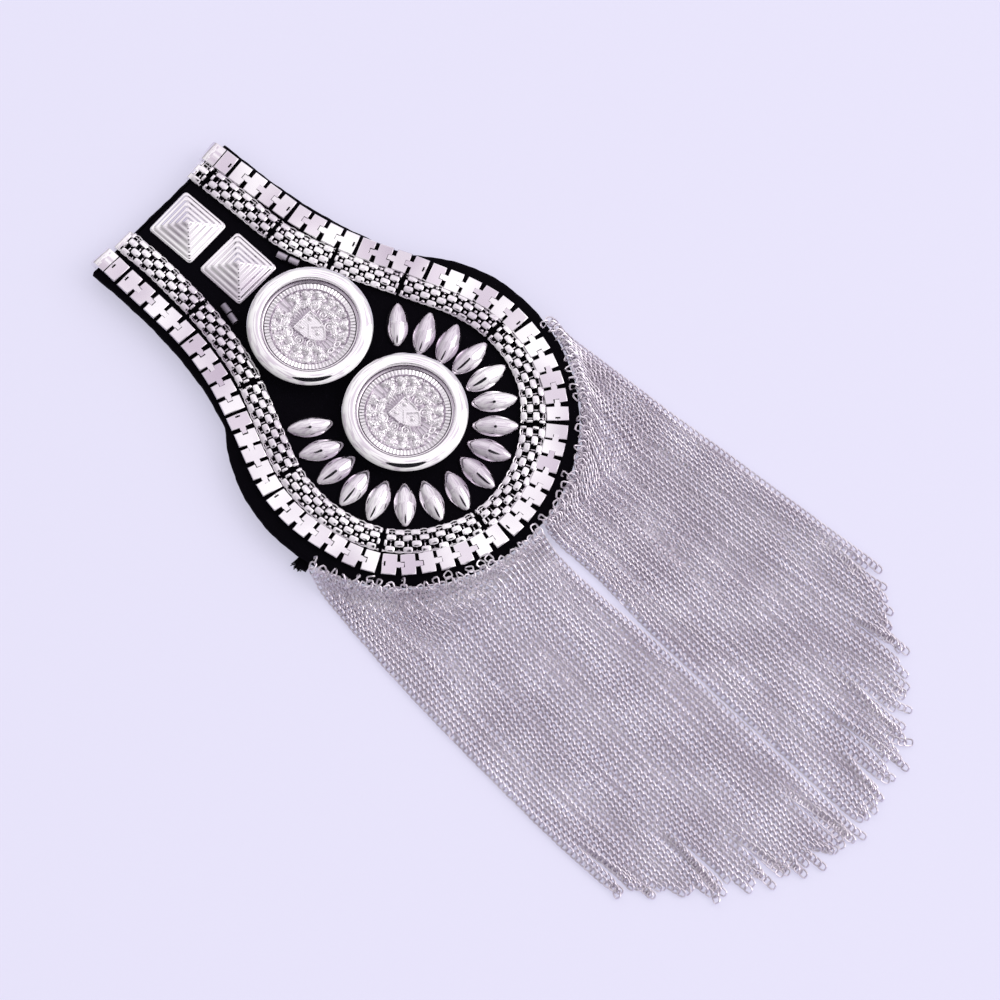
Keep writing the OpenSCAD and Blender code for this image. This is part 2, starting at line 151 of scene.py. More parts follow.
def new_material(name):
    """An empty material with its output node."""
    material = bpy.data.materials.new(name)
    material.use_nodes = True
    material.node_tree.nodes.clear()
    output = add_node(material.node_tree, "ShaderNodeOutputMaterial")
    return material, material.node_tree, output


def metres_scale(size_mm):
    """Scale of a pattern on object coordinates whose features are size_mm across."""
    return 1 / (size_mm * MM)


def end_surface(tree, output, relief, depth_mm, values, strength=1.0):
    """Ends a material with a shader of those values, whose face the relief raises."""
    raised = {"Height": relief, "Distance": depth_mm * MM, "Strength": strength}
    bump = add_node(tree, "ShaderNodeBump", raised).outputs["Normal"]
    shader = add_node(tree, "ShaderNodeBsdfPrincipled", {**values, "Normal": bump})
    tree.links.new(shader.outputs["BSDF"], output.inputs["Surface"])


def plated_metal(name, tint, dull, roughness, spread, dent_mm, dent_depth, struck=False):
    """Plated or polished metal: a mirror that its roughness blurs.

    It is duller and rougher in slow patches where it was handled, and has shallow dents
    of dent_mm from stamping or drawing. On struck metal the piece's attribute recess
    stands in for the patches: it makes the field satin, and darkens the hollows and the
    grooves with painted shade.
    """
    material, tree, output = new_material(name)
    place = add_node(tree, "ShaderNodeTexCoord").outputs["Object"]
    if struck:
        amount = add_node(tree, "ShaderNodeAttribute", attribute_name="recess").outputs["Fac"]
        full = SATIN_RECESS
    else:
        patches = {"Vector": place, "Scale": metres_scale(HANDLED_MM), "Detail": 0.0}
        handled = add_node(tree, "ShaderNodeTexNoise", patches).outputs["Fac"]
        reach = {"Value": handled, "From Min": 0.3, "From Max": 0.7}
        amount = add_node(tree, "ShaderNodeMapRange", reach).outputs["Result"]
        full = 1.0
    blur = {"Value": amount, "From Max": full, "To Min": roughness, "To Max": roughness + spread}
    # On struck metal this mix paints shade into the hollows and grooves; on the rest it dulls the handled
    # patches
    tints = {"Factor": amount, "A": tint, "B": dull}
    stamped = {"Vector": place, "Scale": metres_scale(dent_mm), "Detail": 1.0}
    dents = add_node(tree, "ShaderNodeTexNoise", stamped).outputs["Fac"]
    values = {
        "Base Color": add_node(tree, "ShaderNodeMix", tints, data_type="RGBA").outputs["Result"],
        "Metallic": 1.0,
        "Roughness": add_node(tree, "ShaderNodeMapRange", blur).outputs["Result"],
    }
    end_surface(tree, output, dents, dent_depth, values)
    return material


def felted_cloth(name, dark, light, fibre_mm, depth_mm):
    """Black felted cloth: a matt face of matted fibres that catches a violet sheen at a slant."""
    material, tree, output = new_material(name)
    place = add_node(tree, "ShaderNodeTexCoord").outputs["Object"]
    combed = {"Vector": place, "Rotation": (0.0, 0.0, 0.6), "Scale": (1.0, 0.25, 1.0)}
    stretched = add_node(tree, "ShaderNodeMapping", combed).outputs["Vector"]
    matted = {"Vector": stretched, "Scale": metres_scale(fibre_mm), "Detail": 4.0, "Distortion": 1.2}
    fibres = add_node(tree, "ShaderNodeTexNoise", matted).outputs["Fac"]
    tints = {"Factor": fibres, "A": dark, "B": light}
    values = {
        "Base Color": add_node(tree, "ShaderNodeMix", tints, data_type="RGBA").outputs["Result"],
        "Roughness": 0.95,
        "Specular IOR Level": 0.06,
        "Sheen Weight": 0.015,
        "Sheen Roughness": 0.5,
        "Sheen Tint": colour("#6A5F88"),
    }
    end_surface(tree, output, fibres, depth_mm, values)
    return material


def lit_acrylic(name, tint, glow):
    """Matt white acrylic of a light table: part of its pale lavender is light from below,
    so that shadows on it stay faint."""
    material, tree, output = new_material(name)
    place = add_node(tree, "ShaderNodeTexCoord").outputs["Object"]
    frosted = {"Vector": place, "Scale": metres_scale(0.6), "Detail": 2.0}
    grain = add_node(tree, "ShaderNodeTexNoise", frosted).outputs["Fac"]
    values = {
        "Base Color": (*((1 - glow) * np.array(tint)[:3]), 1.0),
        "Roughness": 1.0,
        "Specular IOR Level": 0.0,
        "Emission Color": tint,
        "Emission Strength": glow,
    }
    end_surface(tree, output, grain, 0.01, values, strength=0.5)
    return material


def plain_card(name, tint):
    """Matt card that a polished surface sees as a dark place."""
    material, tree, output = new_material(name)
    shader = add_node(tree, "ShaderNodeBsdfPrincipled", {"Base Color": colour(tint), "Roughness": 1.0})
    tree.links.new(shader.outputs["BSDF"], output.inputs["Surface"])
    return material


# Shapes: a shape is (vertices in millimetres, list of face arrays)


def ray(degrees):
    """Unit vector at an angle from +X, for one angle or an array of them."""
    a = np.radians(degrees)
    return np.stack([np.cos(a), np.sin(a)], axis=-1)


def unit(vectors):
    """Rows scaled to length 1."""
    return vectors / np.linalg.norm(vectors, axis=1)[:, None]


def dome(value):
    """Height of a round hump: sqrt(1 - value), and 0 where value is over 1."""
    return np.sqrt(np.clip(1 - value, 0, None))


def run_of(points):
    """Distance along a line of points to each of them."""
    return np.concatenate([[0], np.cumsum(np.linalg.norm(np.diff(points, axis=0), axis=1))])


def points_at(distances, run, points):
    """Points of a line at given distances along it, straight between its own points."""
    return np.column_stack([np.interp(distances, run, column) for column in points.T])


def smooth_step(low, high, value):
    """0 below low, 1 above high, and 3t^2 - 2t^3 between them."""
    t = np.clip((value - low) / (high - low), 0, 1)
    return t * t * (3 - 2 * t)


def signed_volume(verts, faces):
    """Sum over each face's fan of triangles of a . (b x c) / 6."""
    total = 0.0
    for f in faces:
        for k in range(1, f.shape[1] - 1):
            a, b, c = verts[f[:, 0]], verts[f[:, k]], verts[f[:, k + 1]]
            total += np.einsum("ij,ij->", a, np.cross(b, c)) / 6
    return total


def loft(rings, closed=False):
    """Joins rings of points, an array (rings, points, 3), into one closed skin.

    Quads join each ring to the next. The end rings get flat caps, or join each other
    where closed is true. Faces are turned over if the enclosed volume comes out negative.
    """
    rows, cols = rings.shape[:2]
    verts = rings.reshape(-1, 3).astype(float)
    r = np.arange(rows if closed else rows - 1)[:, None]
    c = np.arange(cols)[None]
    near, far = r * cols, (r + 1) % rows * cols
    along = (c + 1) % cols
    quads = np.stack([near + c, near + along, far + along, far + c], axis=-1).reshape(-1, 4)
    faces = [quads]
    if not closed:
        last = (rows - 1) * cols
        faces.append(np.array([np.arange(cols)[::-1], last + np.arange(cols)]))
    if signed_volume(verts - verts.mean(0), faces) < 0:
        faces = [f[:, ::-1] for f in faces]
    return verts, faces


def copies(shape, axes, places):
    """Copies of a shape: each vertex times the copy's three axes, plus the copy's place."""
    verts, faces = shape
    every = np.einsum("vk,nkj->nvj", verts, axes) + places[:, None]
    step = (np.arange(len(places)) * len(verts))[:, None, None]
    return every.reshape(-1, 3), [(f[None] + step).reshape(-1, f.shape[1]) for f in faces]


def joined(shapes):
    """One shape from several."""
    verts, faces, start = [], [], 0
    for v, fs in shapes:
        verts.append(v)
        faces += [f + start for f in fs]
        start += len(v)
    return np.concatenate(verts), faces


def new_piece(name, shape, material, replaced=(), recess=None):
    """Makes the mesh object of a shape, rides it on the part and hides the solid parts it replaces."""
    verts, faces = shape
    verts = (verts + HOME) * MM
    sizes = np.concatenate([np.full(len(f), f.shape[1]) for f in faces])
    mesh = bpy.data.meshes.new(name)
    mesh.vertices.add(len(verts))
    mesh.vertices.foreach_set("co", verts.ravel())
    mesh.loops.add(int(sizes.sum()))
    mesh.loops.foreach_set("vertex_index", np.concatenate([f.ravel() for f in faces]).astype(np.int32))
    mesh.polygons.add(len(sizes))
    mesh.polygons.foreach_set("loop_start", np.concatenate([[0], np.cumsum(sizes)[:-1]]).astype(np.int32))
    mesh.polygons.foreach_set("use_smooth", np.ones(len(sizes), bool))
    mesh.update(calc_edges=True)
    mesh.set_sharp_from_angle(angle=math.radians(SHARP_A))
    if recess is not None:
        mesh.attributes.new("recess", "FLOAT", "POINT").data.foreach_set("value", recess.ravel())
    mesh.materials.append(material)
    piece = bpy.data.objects.new(name, mesh)
    bpy.context.scene.collection.objects.link(piece)
    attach(piece, BODY)
    if replaced:
        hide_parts(*replaced)


def paint_node(name, material):
    """Gives a solid part its finish, in every slot."""
    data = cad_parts[name].data
    data.materials.clear()
    data.materials.append(material)


def pillow(half, squareness, rows, cols):
    """Superellipsoid: x = a C(u)C(v), y = b C(u)S(v), z = c S(u), with powers of sine and cosine."""

    def power(value):
        return np.sign(value) * np.abs(value) ** squareness

    u = np.radians(np.linspace(-86, 86, rows))[:, None]
    v = np.radians(np.arange(cols) * 360 / cols)[None]
    across = power(np.cos(u))
    rings = np.stack(
        [across * power(np.cos(v)), across * power(np.sin(v)), power(np.sin(u)) + 0 * v], axis=-1
    )
    return loft(rings * np.array(half))


def tube(points, across, up, radius, sides):
    """Round wire: at each point a ring of radius (cos w across + sin w up), for w round the circle."""
    w = np.radians(np.arange(sides) * 360 / sides + 180 / sides)
    ring = np.cos(w)[None, :, None] * across[:, None] + np.sin(w)[None, :, None] * up[:, None]
    return loft(points[:, None] + radius * ring)


# The lines that the trims follow


class Rail:
    """The middle line of a trim, from the strap's right end round to its left end.

    The right half is a straight run, a bend outwards, a straight flare, a flatter arc
    and a round arc. The left half is its mirror image. s is the distance along it.
    """

    def __init__(self, end_half, taper, round_r, place_x, wander):
        side_r = round_r + SIDE_FLAT
        drop = STRAP_LEN - TRIM_Y
        turn = math.radians(FLARE_A - taper)
        touch = side_r * ray(FLARE_A) - SIDE_FLAT * ray(SIDE_A)
        lead = BEND_R * math.tan(turn / 2)
        t, f = math.radians(taper), math.radians(FLARE_A)
        out, down = touch[0] - end_half, drop - touch[1]
        flare = (out * math.cos(t) - down * math.sin(t)) / math.sin(turn)
        run = (down * math.sin(f) - out * math.cos(f)) / math.sin(turn)
        lengths = [
            run - lead,
            BEND_R * turn,
            flare - lead,
            side_r * math.radians(FLARE_A - SIDE_A),
            round_r * math.radians(90 + SIDE_A),
        ]
        self.taper, self.round_r, self.side_r, self.place_x = taper, round_r, side_r, place_x
        self.ends = np.cumsum(lengths)
        self.half = self.ends[-1]
        self.length = 2 * self.half
        self.bend_at = np.array([end_half, drop]) + self.ends[0] * ray(taper - 90)
        self.bend_mid = self.bend_at + BEND_R * ray(taper)
        self.flare_at = self.bend_mid - BEND_R * ray(FLARE_A)
        table = np.array(wander, float)
        window = np.hanning(25)
        self.wander_s = np.arange(0, self.length + 0.5, 0.5)
        rough = np.pad(np.interp(self.wander_s, table[:, 0], table[:, 1]), 12, mode="edge")
        self.wander = np.convolve(rough, window / window.sum(), "valid")

    def strayed(self, s):
        """How far the trim was laid outwards of its ideal line at s, and the slope of that."""
        slope = np.gradient(self.wander, 0.5)
        return np.interp(s, self.wander_s, self.wander), np.interp(s, self.wander_s, slope)

    def place(self, s):
        """Points (n, 2) and headings in degrees at distances s, within the two ends."""
        s = np.asarray(s, float)
        left = s > self.half
        d = np.where(left, self.length - s, s)
        e = self.ends
        parts = [d < e[0], d < e[1], d < e[2], d < e[3]]
        angles = [
            self.taper + 0 * d,
            self.taper + np.degrees((d - e[0]) / BEND_R),
            FLARE_A + 0 * d,
            FLARE_A - np.degrees((d - e[2]) / self.side_r),
        ]
        a = np.select(parts, angles, SIDE_A - np.degrees((d - e[3]) / self.round_r))
        rays = ray(a)
        points = [
            self.bend_at - (e[0] - d)[:, None] * ray(self.taper - 90),
            self.bend_mid - BEND_R * rays,
            self.flare_at + (d - e[1])[:, None] * ray(FLARE_A - 90),
            self.side_r * rays - SIDE_FLAT * ray(SIDE_A),
        ]
        p = np.select([q[:, None] for q in parts], points, self.round_r * rays)
        heading = a - 90
        p[:, 0] = np.where(left, -p[:, 0], p[:, 0])
        heading = np.where(left, -heading, heading)
        leaning = p[:, 1] > LEAN_Y
        heading = heading + np.where(leaning, math.degrees(math.atan(LEAN)), 0)
        p[:, 0] -= LEAN * np.maximum(0, p[:, 1] - LEAN_Y)
        off, slope = self.strayed(s)
        p += off[:, None] * ray(heading + 90)
        return p + [self.place_x, TRIM_Y], heading + np.degrees(np.arctan(slope))

    def frames(self, s, bend=0.45):
        """Points (n, 3) on the board's top, and the directions along, across and up there.

        Past either end the line runs on for END_GAP, turns down round a bend of that
        radius, and runs down the board's end.
        """
        s = np.asarray(s, float)
        inside = np.clip(s, 0, self.length)
        flat, heading = self.place(inside)
        h = np.radians(heading)
        along = np.stack([np.cos(h), np.sin(h), 0 * h], axis=-1)
        across = np.stack([-np.sin(h), np.cos(h), 0 * h], axis=-1)
        past = np.abs(s - inside)
        sign = np.sign(s - inside)[:, None]
        outward = sign * along
        turn = np.clip((past - END_GAP) / bend, 0, math.pi / 2)[:, None]
        over = np.minimum(past, END_GAP)[:, None] + bend * np.sin(turn)
        fall = bend * (1 - np.cos(turn)) + np.maximum(0, past - END_GAP - bend * math.pi / 2)[:, None]
        z = np.array([0.0, 0.0, 1.0])
        points = np.column_stack([flat, np.full(len(s), TOP_Z)]) + outward * over - z * fall
        up = z * np.cos(turn) + outward * np.sin(turn)
        ahead = np.where(sign == 0, along, sign * (outward * np.cos(turn) - z * np.sin(turn)))
        return points, ahead, across, up


CHAIN_WANDER = (
    (0, 0.1), (20, 0), (40, 0.1), (47, 0.15), (52, -0.35), (60, -0.4), (69, -0.1), (74, -0.3), (84, -0.5),
    (95, -0.5), (105, -0.85), (113, -0.5), (120, 0), (136, 0.1), (147, 0.75), (153, 0.4), (160, -0.2),
    (169, 0), (180, -0.1), (193, -0.25), (200, 0),
)
BAND_WANDER = (
    (0, 0.4), (5, 0.4), (12, 0.3), (20, 0), (30, 0.26), (48, 0.26), (60, 0.18), (69, 0.1), (82, -0.06),
    (92, -0.75), (99, -0.4), (104, -0.25), (109, 0.15), (116, 0.55), (126, 0.4), (136, 0.65), (143, 0.3),
    (155, 0.08), (171, -0.04), (181, -0.4), (190, 0.2), (200, 0.1), (213, -0.6), (220, -0.3),
)
CHAIN_RAIL = Rail(15.6, 3.4, 30.6, 0.1, CHAIN_WANDER)
BAND_RAIL = Rail(10.45, 2.1, 25.7, 0.3, BAND_WANDER)


# The board


def board_outline(count):
    """Keyhole outline (count, 2): a strap whose half width grows with a power of the
    distance from its end, and a round end, with points at even distances."""

    def strap_side(side, heights):
        grown = ((STRAP_LEN - heights) / (STRAP_LEN - STRAP_ROOT_Y)) ** FLARE_POWER
        half = STRAP_END_W / 2 + (STRAP_ROOT_W - STRAP_END_W) / 2 * grown
        x = side * half - LEAN * np.maximum(0, heights - LEAN_Y)
        return np.column_stack([x, heights])

    heights = np.linspace(STRAP_LEN, STRAP_ROOT_Y - 5, 200)
    sides = {}
    for side in (-1, 1):
        p = strap_side(side, heights)
        outside = np.hypot(p[:, 0] - ROUND_X, p[:, 1]) > BOARD_R
        sides[side] = p[outside]
    end = {k: math.degrees(math.atan2(p[-1, 1], p[-1, 0] - ROUND_X)) for k, p in sides.items()}
    arc = BOARD_R * ray(np.linspace(end[1], end[-1] - 360, 400)) + [ROUND_X, 0]
    whole = np.concatenate([sides[1], arc[1:-1], sides[-1][::-1]])
    whole = np.concatenate([whole, whole[:1]])
    run = run_of(whole)
    return points_at(np.linspace(0, run[-1], count, endpoint=False), run, whole)


def board_shape():
    """Cloth turned over a stiff card: the outline carried up a profile with soft edges,
    each ring moved in along its normals, with a slow unevenness of the cut edge, which is
    fullest on the right of the round end."""
    flat = board_outline(720)
    ahead = np.roll(flat, -1, axis=0) - np.roll(flat, 1, axis=0)
    normal = unit(np.column_stack([ahead[:, 1], -ahead[:, 0]]))
    turn = np.arange(len(flat)) / len(flat) * 2 * np.pi
    uneven = 0.04 * np.sin(31 * turn) + 0.03 * np.sin(73 * turn + 1) + 0.02 * np.sin(127 * turn + 2)
    uneven -= 0.3 + 0.3 * np.exp(-(((flat[:, 1] - 9) / 9) ** 2)) * (flat[:, 0] > 0)
    thick = TOP_Z - BOARD_Z
    profile = np.array(
        [[1.2, 0], [0.45, 0.02], [0.12, 0.2], [0, 0.6], [0, 1.25], [0.1, 1.65], [0.35, 1.9], [0.8, 2]]
    )
    rings = [
        np.column_stack([flat + normal * (inset + uneven[:, None]), np.full(len(flat), z)])
        for inset, z in profile * [1, thick / 2] + [0, BOARD_Z]
    ]
    return loft(np.array(rings))


def raw_end_shape(rng):
    """Frayed end of the black tape: short threads that bend as they leave it, each a
    tube along start + t out + t^2 sag."""
    threads = []
    root_a = math.radians(270 - LEFT_A - 3)
    out = np.array([math.cos(root_a), math.sin(root_a), 0.0])
    side = np.array([-out[1], out[0], 0.0])
    for _ in range(46):
        start = out * rng.uniform(34.3, 35.4) - side * rng.uniform(0.1, 2.1)
        start = start + [ROUND_X, 0, BOARD_Z - rng.uniform(0.2, 1.0)]
        length = rng.uniform(1.4, 2.9)
        t = np.linspace(0, 1, 7)[:, None]
        swing = side * rng.uniform(-0.8, 0.5) + np.array([0, 0, rng.uniform(-0.9, 0.2)])
        points = start + t * length * out + t**2 * swing
        points[:, 2] = np.maximum(points[:, 2], 0.15)
        across, up = np.repeat(side[None], len(t), 0), np.repeat([[0.0, 0.0, 1.0]], len(t), 0)
        threads.append(tube(points, across, up, 0.11, 5))
    return joined(threads)


# The border chain


def inset_rings(outline, insets, heights):
    """Rings of a right-angled outline (n, 2), going anticlockwise, moved in by insets
    (k, n) at heights (k,). A corner moves in along both of its sides."""
    before = outline - np.roll(outline, 1, axis=0)
    after = np.roll(outline, -1, axis=0) - outline
    inward = [np.column_stack([-d[:, 1], d[:, 0]]) / np.hypot(*d.T)[:, None] for d in (before, after)]
    step = inward[0] + inward[1]
    flat = outline[None] + step[None] * insets[:, :, None]
    z = np.broadcast_to(heights[:, None, None], (*flat.shape[:2], 1))
    return np.concatenate([flat, z], axis=-1)


def plate_outline(half_l, half_w, slot, neck_half, tongue, joined_before, joined_after):
    """Outline of a plate from its lower left corner, anticlockwise, and each corner's
    bevel: 1 at the plate's own corners, less round its tongue and its notch.

    The tongue leaves the plate's start over the slot and lies in a notch in the plate
    before. A plate that no tongue reaches shows the notch as a narrow window."""
    half, reach, gap = tongue
    points = [[-half_l, -half_w, 1], [half_l, -half_w, 1]]
    if joined_after:
        x0, x1, w = half_l, half_l - reach - gap, half + gap
        points += [[x0, -w, 0.15], [x1, -w, 0.15], [x1, w, 0.15], [x0, w, 0.15]]
    else:
        x0, x1, x2, w = half_l, half_l - 0.42, half_l - 0.72, half - 0.05
        points += [[x0, -0.02, 0.1], [x1, -0.02, 0.1], [x1, -w, 0.15], [x2, -w, 0.15]]
        points += [[x2, w, 0.15], [x1, w, 0.15], [x1, 0.02, 0.1], [x0, 0.02, 0.1]]
    points += [[half_l, half_w, 1], [-half_l, half_w, 1]]
    if joined_before:
        x0, x1, x2 = -half_l, -half_l - slot + gap, -half_l - slot - reach
        points += [[x0, neck_half, 0.4], [x1, neck_half, 0.2], [x1, half, 0.15], [x2, half, 0.15]]
        points += [[x2, -half, 0.15], [x1, -half, 0.15], [x1, -neck_half, 0.2], [x0, -neck_half, 0.4]]
    table = np.array(points, float)
    return table[:, :2], table[:, 2]


def bevelled_plate(outline, bevel, thick, edge):
    """A plate with a flat foot, upright sides and a quarter-round top edge. A last ring
    lies just inside the round edge, so that the top face shades flat."""
    turns = np.radians([0, 30, 60, 90])
    insets = np.concatenate([[[0.0]], edge * (1 - np.cos(turns))[:, None]]) * bevel[None]
    insets = np.concatenate([insets, insets[-1:] + 0.02])
    depth = edge * bevel.max()
    heights = np.concatenate([[0.0], thick - depth + depth * np.sin(turns), [thick]])
    return loft(inset_rings(outline, insets, heights))


def tilted_axes(along, across, up, amount, rng):
    """The three directions turned by small random amounts, still square to each other."""
    tip, roll = rng.normal(0, amount, (2, len(up), 1))
    tilted = unit(up + tip * along + roll * across)
    side = unit(np.cross(tilted, along))
    return np.stack([np.cross(side, tilted), side, tilted], axis=1)


def border_chain_shape(sizes, rng):
    """Every plate of the chain on its rail, each tilted a little, in one shape."""
    total = sum(STRIPS)
    pitch = (CHAIN_RAIL.length - 2 * HOOK_LEN) / total
    cuts = set(np.cumsum(STRIPS)[:-1].tolist())
    slot, thick = sizes.slot / MM, sizes.thickness / MM
    half_l, half_w = (pitch - slot) / 2, sizes.width / MM / 2
    neck_half = sizes.tongue / MM / 2
    tongue = (neck_half - 0.12, 0.75, 0.035)
    edge = sizes.edge / MM
    kinds = {}
    for i in range(total):
        kinds.setdefault((i > 0 and i not in cuts, i + 1 not in cuts and i + 1 < total), []).append(i)
    shapes = []
    for (before, after), members in kinds.items():
        outline, bevel = plate_outline(half_l, half_w, slot, neck_half, tongue, before, after)
        base = bevelled_plate(outline, bevel, thick, edge)
        s = HOOK_LEN + (np.array(members) + 0.5) * pitch
        points, along, across, up = CHAIN_RAIL.frames(s)
        shapes.append(copies(base, tilted_axes(along, across, up, PLATE_TILT, rng), points))
    close = HOOK_LEN + slot / 2 - 0.08
    shapes += [hook_shape(CHAIN_RAIL, end, close, half_w, thick, edge) for end in (0, 1)]
    return joined(shapes)


def hook_shape(rail, end, start, half_w, thick, edge):
    """Trim bent over the strap's end: its cross section carried along the rail."""
    s = np.concatenate([np.linspace(start, -END_GAP, 6), -END_GAP - np.linspace(0.15, 1.9, 12)])
    s = rail.length - s if end else s
    points, _, across, up = rail.frames(s)
    soft = edge * 0.8
    right = np.array([half_w, thick]) - soft * np.array([[0, 1], [0.3, 0.3], [1, 0]])
    section = np.concatenate([[[-half_w, 0.05], [half_w, 0.05]], right, right[::-1] * [-1, 1]])
    rings = points[:, None] + section[None, :, :1] * across[:, None] + section[None, :, 1:] * up[:, None]
    return loft(rings)


# The woven band


BAND_CUTS = (-2.4, 2.8, 20.0, 33.4, 48.2, 69.4, 92.2, 116.2, 136.2, 160.3, 180.8, 200.4, 220.9)
PRESSED = (2, 3, 4, 8)


def band_piece_shapes(start, stop, pressed, sizes, rng):
    """One cut length of the band.

    Four columns of flat pads in a chequer: the first and third columns have a pad at
    each half pitch and the others at each whole one, cut short at the ends. A wire
    bulges round the holes at each edge: across = edge + b cos(2 pi s / pitch). In a
    pressed length, beads of the layer below fill the holes.
    """
    half_pitch = sizes.pitch / MM / 2
    count = int(round((stop - start) / half_pitch))
    half_pitch = (stop - start) / count
    high, pad = sizes.thickness / MM, sizes.pad_length / MM / 2
    step, clear = sizes.column_width / MM, 0.36
    k, c = np.meshgrid(np.arange(count + 1), np.arange(4), indexing="ij")
    filled = (k + c) % 2 == 1
    centre = start + k[filled] * half_pitch
    column = 1.5 - c[filled]
    first, last = np.maximum(centre - pad, start + clear), np.minimum(centre + pad, stop - clear)
    long = last - first
    kept = (long > 0.3) & (last > -0.3) & (first < BAND_RAIL.length + 0.3)
    first, long, column = first[kept], long[kept], column[kept]
    middle = first + long / 2
    points, along, across, up = BAND_RAIL.frames(middle)
    outer = np.abs(column) > 1
    lean = 0.16 * column[:, None]
    across_pad, up_pad = across - lean * up, up + lean * across
    fold = smooth_step(0, 0.5, np.maximum(-middle, middle - BAND_RAIL.length))
    lift = (high - 0.5 - 0.12 * outer + rng.normal(0, 0.03, len(long))) * (1 - 0.8 * fold)
    places = points + across * (column * step)[:, None] + up * lift[:, None]
    axes = tilted_axes(along, across_pad, up_pad, 0.09, rng)
    axes *= np.stack([long / 2, 0 * long + step * 0.57, 0.46 - 0.26 * fold], axis=1)[:, :, None]
    shapes = [copies(pillow((1, 1, 1), 0.48, 7, 12), axes, places)]

    holes = ~filled
    s, v = start + k[holes] * half_pitch, (1.5 - c[holes]) * step
    inside = (s > max(start, 0) + 0.6) & (s < min(stop, BAND_RAIL.length) - 0.6)
    points, along, across, up = BAND_RAIL.frames(s[inside])
    size = (0.42, 0.38, 0.34) if pressed else (0.16, 0.6, 0.12)
    lift = high - (0.78 if pressed else 1.2)
    places = points + across * v[inside][:, None] + up * lift
    shapes.append(copies(pillow(size, 0.9, 6, 10), tilted_axes(along, across, up, 0.1, rng), places))

    edge_s = np.linspace(max(start, 0) + 0.3, min(stop, BAND_RAIL.length) - 0.3, 6 * count + 1)
    points, _, across, up = BAND_RAIL.frames(edge_s)
    for side in (-1, 1):
        turn = np.pi * (edge_s - start) / half_pitch + (0 if side > 0 else np.pi)
        for swing, edge, height in ((0.18, 2.3, high - 0.5), (-0.1, 2.1, high - 0.85)):
            off = side * (edge + swing * np.cos(turn))
            line = points + across * off[:, None] + up * (height + 0.08 * np.cos(turn))[:, None]
            shapes.append(tube(line, across, up, 0.13, 6))
    return shapes


def woven_band_shape(sizes, rng):
    """Every cut length of the band, and the end that turns over the board's other end."""
    shapes = []
    cuts = (*BAND_CUTS, BAND_RAIL.length + 2.4)
    for i, (start, stop) in enumerate(zip(cuts[:-1], cuts[1:])):
        if stop - start > 1:
            shapes += band_piece_shapes(start, stop, i in PRESSED, sizes, rng)
    shapes += [hook_shape(BAND_RAIL, end, 0.2, 2.3, 0.45, 0.15) for end in (0, 1)]
    return joined(shapes)


# Buttons and studs


def leaf_height(x, y, place, angle, length, width, high):
    """Half an egg along the leaf's own axis, with a groove down its middle."""
    d = ray(angle)
    lx = (x - place[0]) * d[0] + (y - place[1]) * d[1]
    ly = (y - place[1]) * d[0] - (x - place[0]) * d[1]
    from_middle = (2 * lx / length - 1) ** 2 + (2 * ly / width) ** 2
    groove = 0.2 * np.exp(-((ly / 0.09) ** 2)) + 0.08 * np.sin(2 * np.pi * (lx - np.abs(ly)) / 0.45)
    return high * np.maximum(0, dome(from_middle) - np.where(from_middle < 1, groove, 0))


def scroll_height(x, y, place, angle, size):
    """A curled leaf: a round ridge along the spiral r = size (turned angle) / (4 pi)."""
    dx, dy = x - place[0], y - place[1]
    r = np.hypot(dx, dy)
    turned = (np.degrees(np.arctan2(dy, dx)) - angle) % 360 / 360
    rounds = r / (size / 2)
    off = (rounds - turned - np.round(rounds - turned)) * size / 2
    return 0.62 * dome((off / (0.24 * size)) ** 2) * (1 - smooth_step(0.9 * size, 1.1 * size, r))


# A leaf's root outside the branch's middle, its turn, its length and its width
LEAVES = ((0.2, 52, 3.1, 1.9), (-0.2, 126, 2.8, 1.7), (0.9, 8, 1.5, 1.2))
# A curled leaf's place, the turn of its tip and its size
SCROLLS = ((3.7, 2.4, 80, 1.2), (3.6, -0.3, 0, 1.1), (2.7, -2.8, -60, 1.2), (2.2, 4.2, 110, 0.9))


def ornament_height(x, y):
    """Relief above the sunk field: rays, two leafy branches with berries and curled leaves
    round a plain shield with a chevron, a faceted star over it and a ribbon's two loops
    under it. Where they overlap, the higher one shows."""
    rays = 0.5 + 0.5 * np.cos(40 * np.arctan2(y, x))
    high = 0.2 * rays * smooth_step(0.8, 2.5, np.hypot(x, y))
    for side in (-1, 1):
        for i in range(7):
            a = 270 + side * (18 + i * 22.5)
            uneven = 1 + 0.12 * math.sin(3.1 * i + side)
            for shift, turn, length, width in LEAVES:
                root = (5.8 + shift) * ray(a)
                leaf = leaf_height(x, y, root, a + side * turn, length * uneven, width, 0.8)
                high = np.maximum(high, leaf)
            berry = 6.0 * ray(a + side * 8)
            high = np.maximum(high, 0.6 * dome(((x - berry[0]) ** 2 + (y - berry[1]) ** 2) / 0.16))
        for px, py, turn, size in SCROLLS:
            high = np.maximum(high, scroll_height(side * x, y, (px, py), turn, size))
        round_from_foot = np.degrees(np.arctan2(side * x, -y))
        on_branch = (round_from_foot > 6) & (round_from_foot < 160)
        stem = 0.35 * dome(((np.hypot(x, y) - 5.9) / 0.2) ** 2)
        high = np.maximum(high, on_branch * stem)
    high = np.maximum(high, shield_height(x, y + 0.5))
    high = np.maximum(high, star_height(x, y - 4.7, 1.75))
    for side in (-1, 1):
        loop = np.hypot(x - side * 0.9, (y + 6.6) / 0.62)
        high = np.maximum(high, 0.6 * dome(((loop - 0.7) / 0.42) ** 2))
    return high


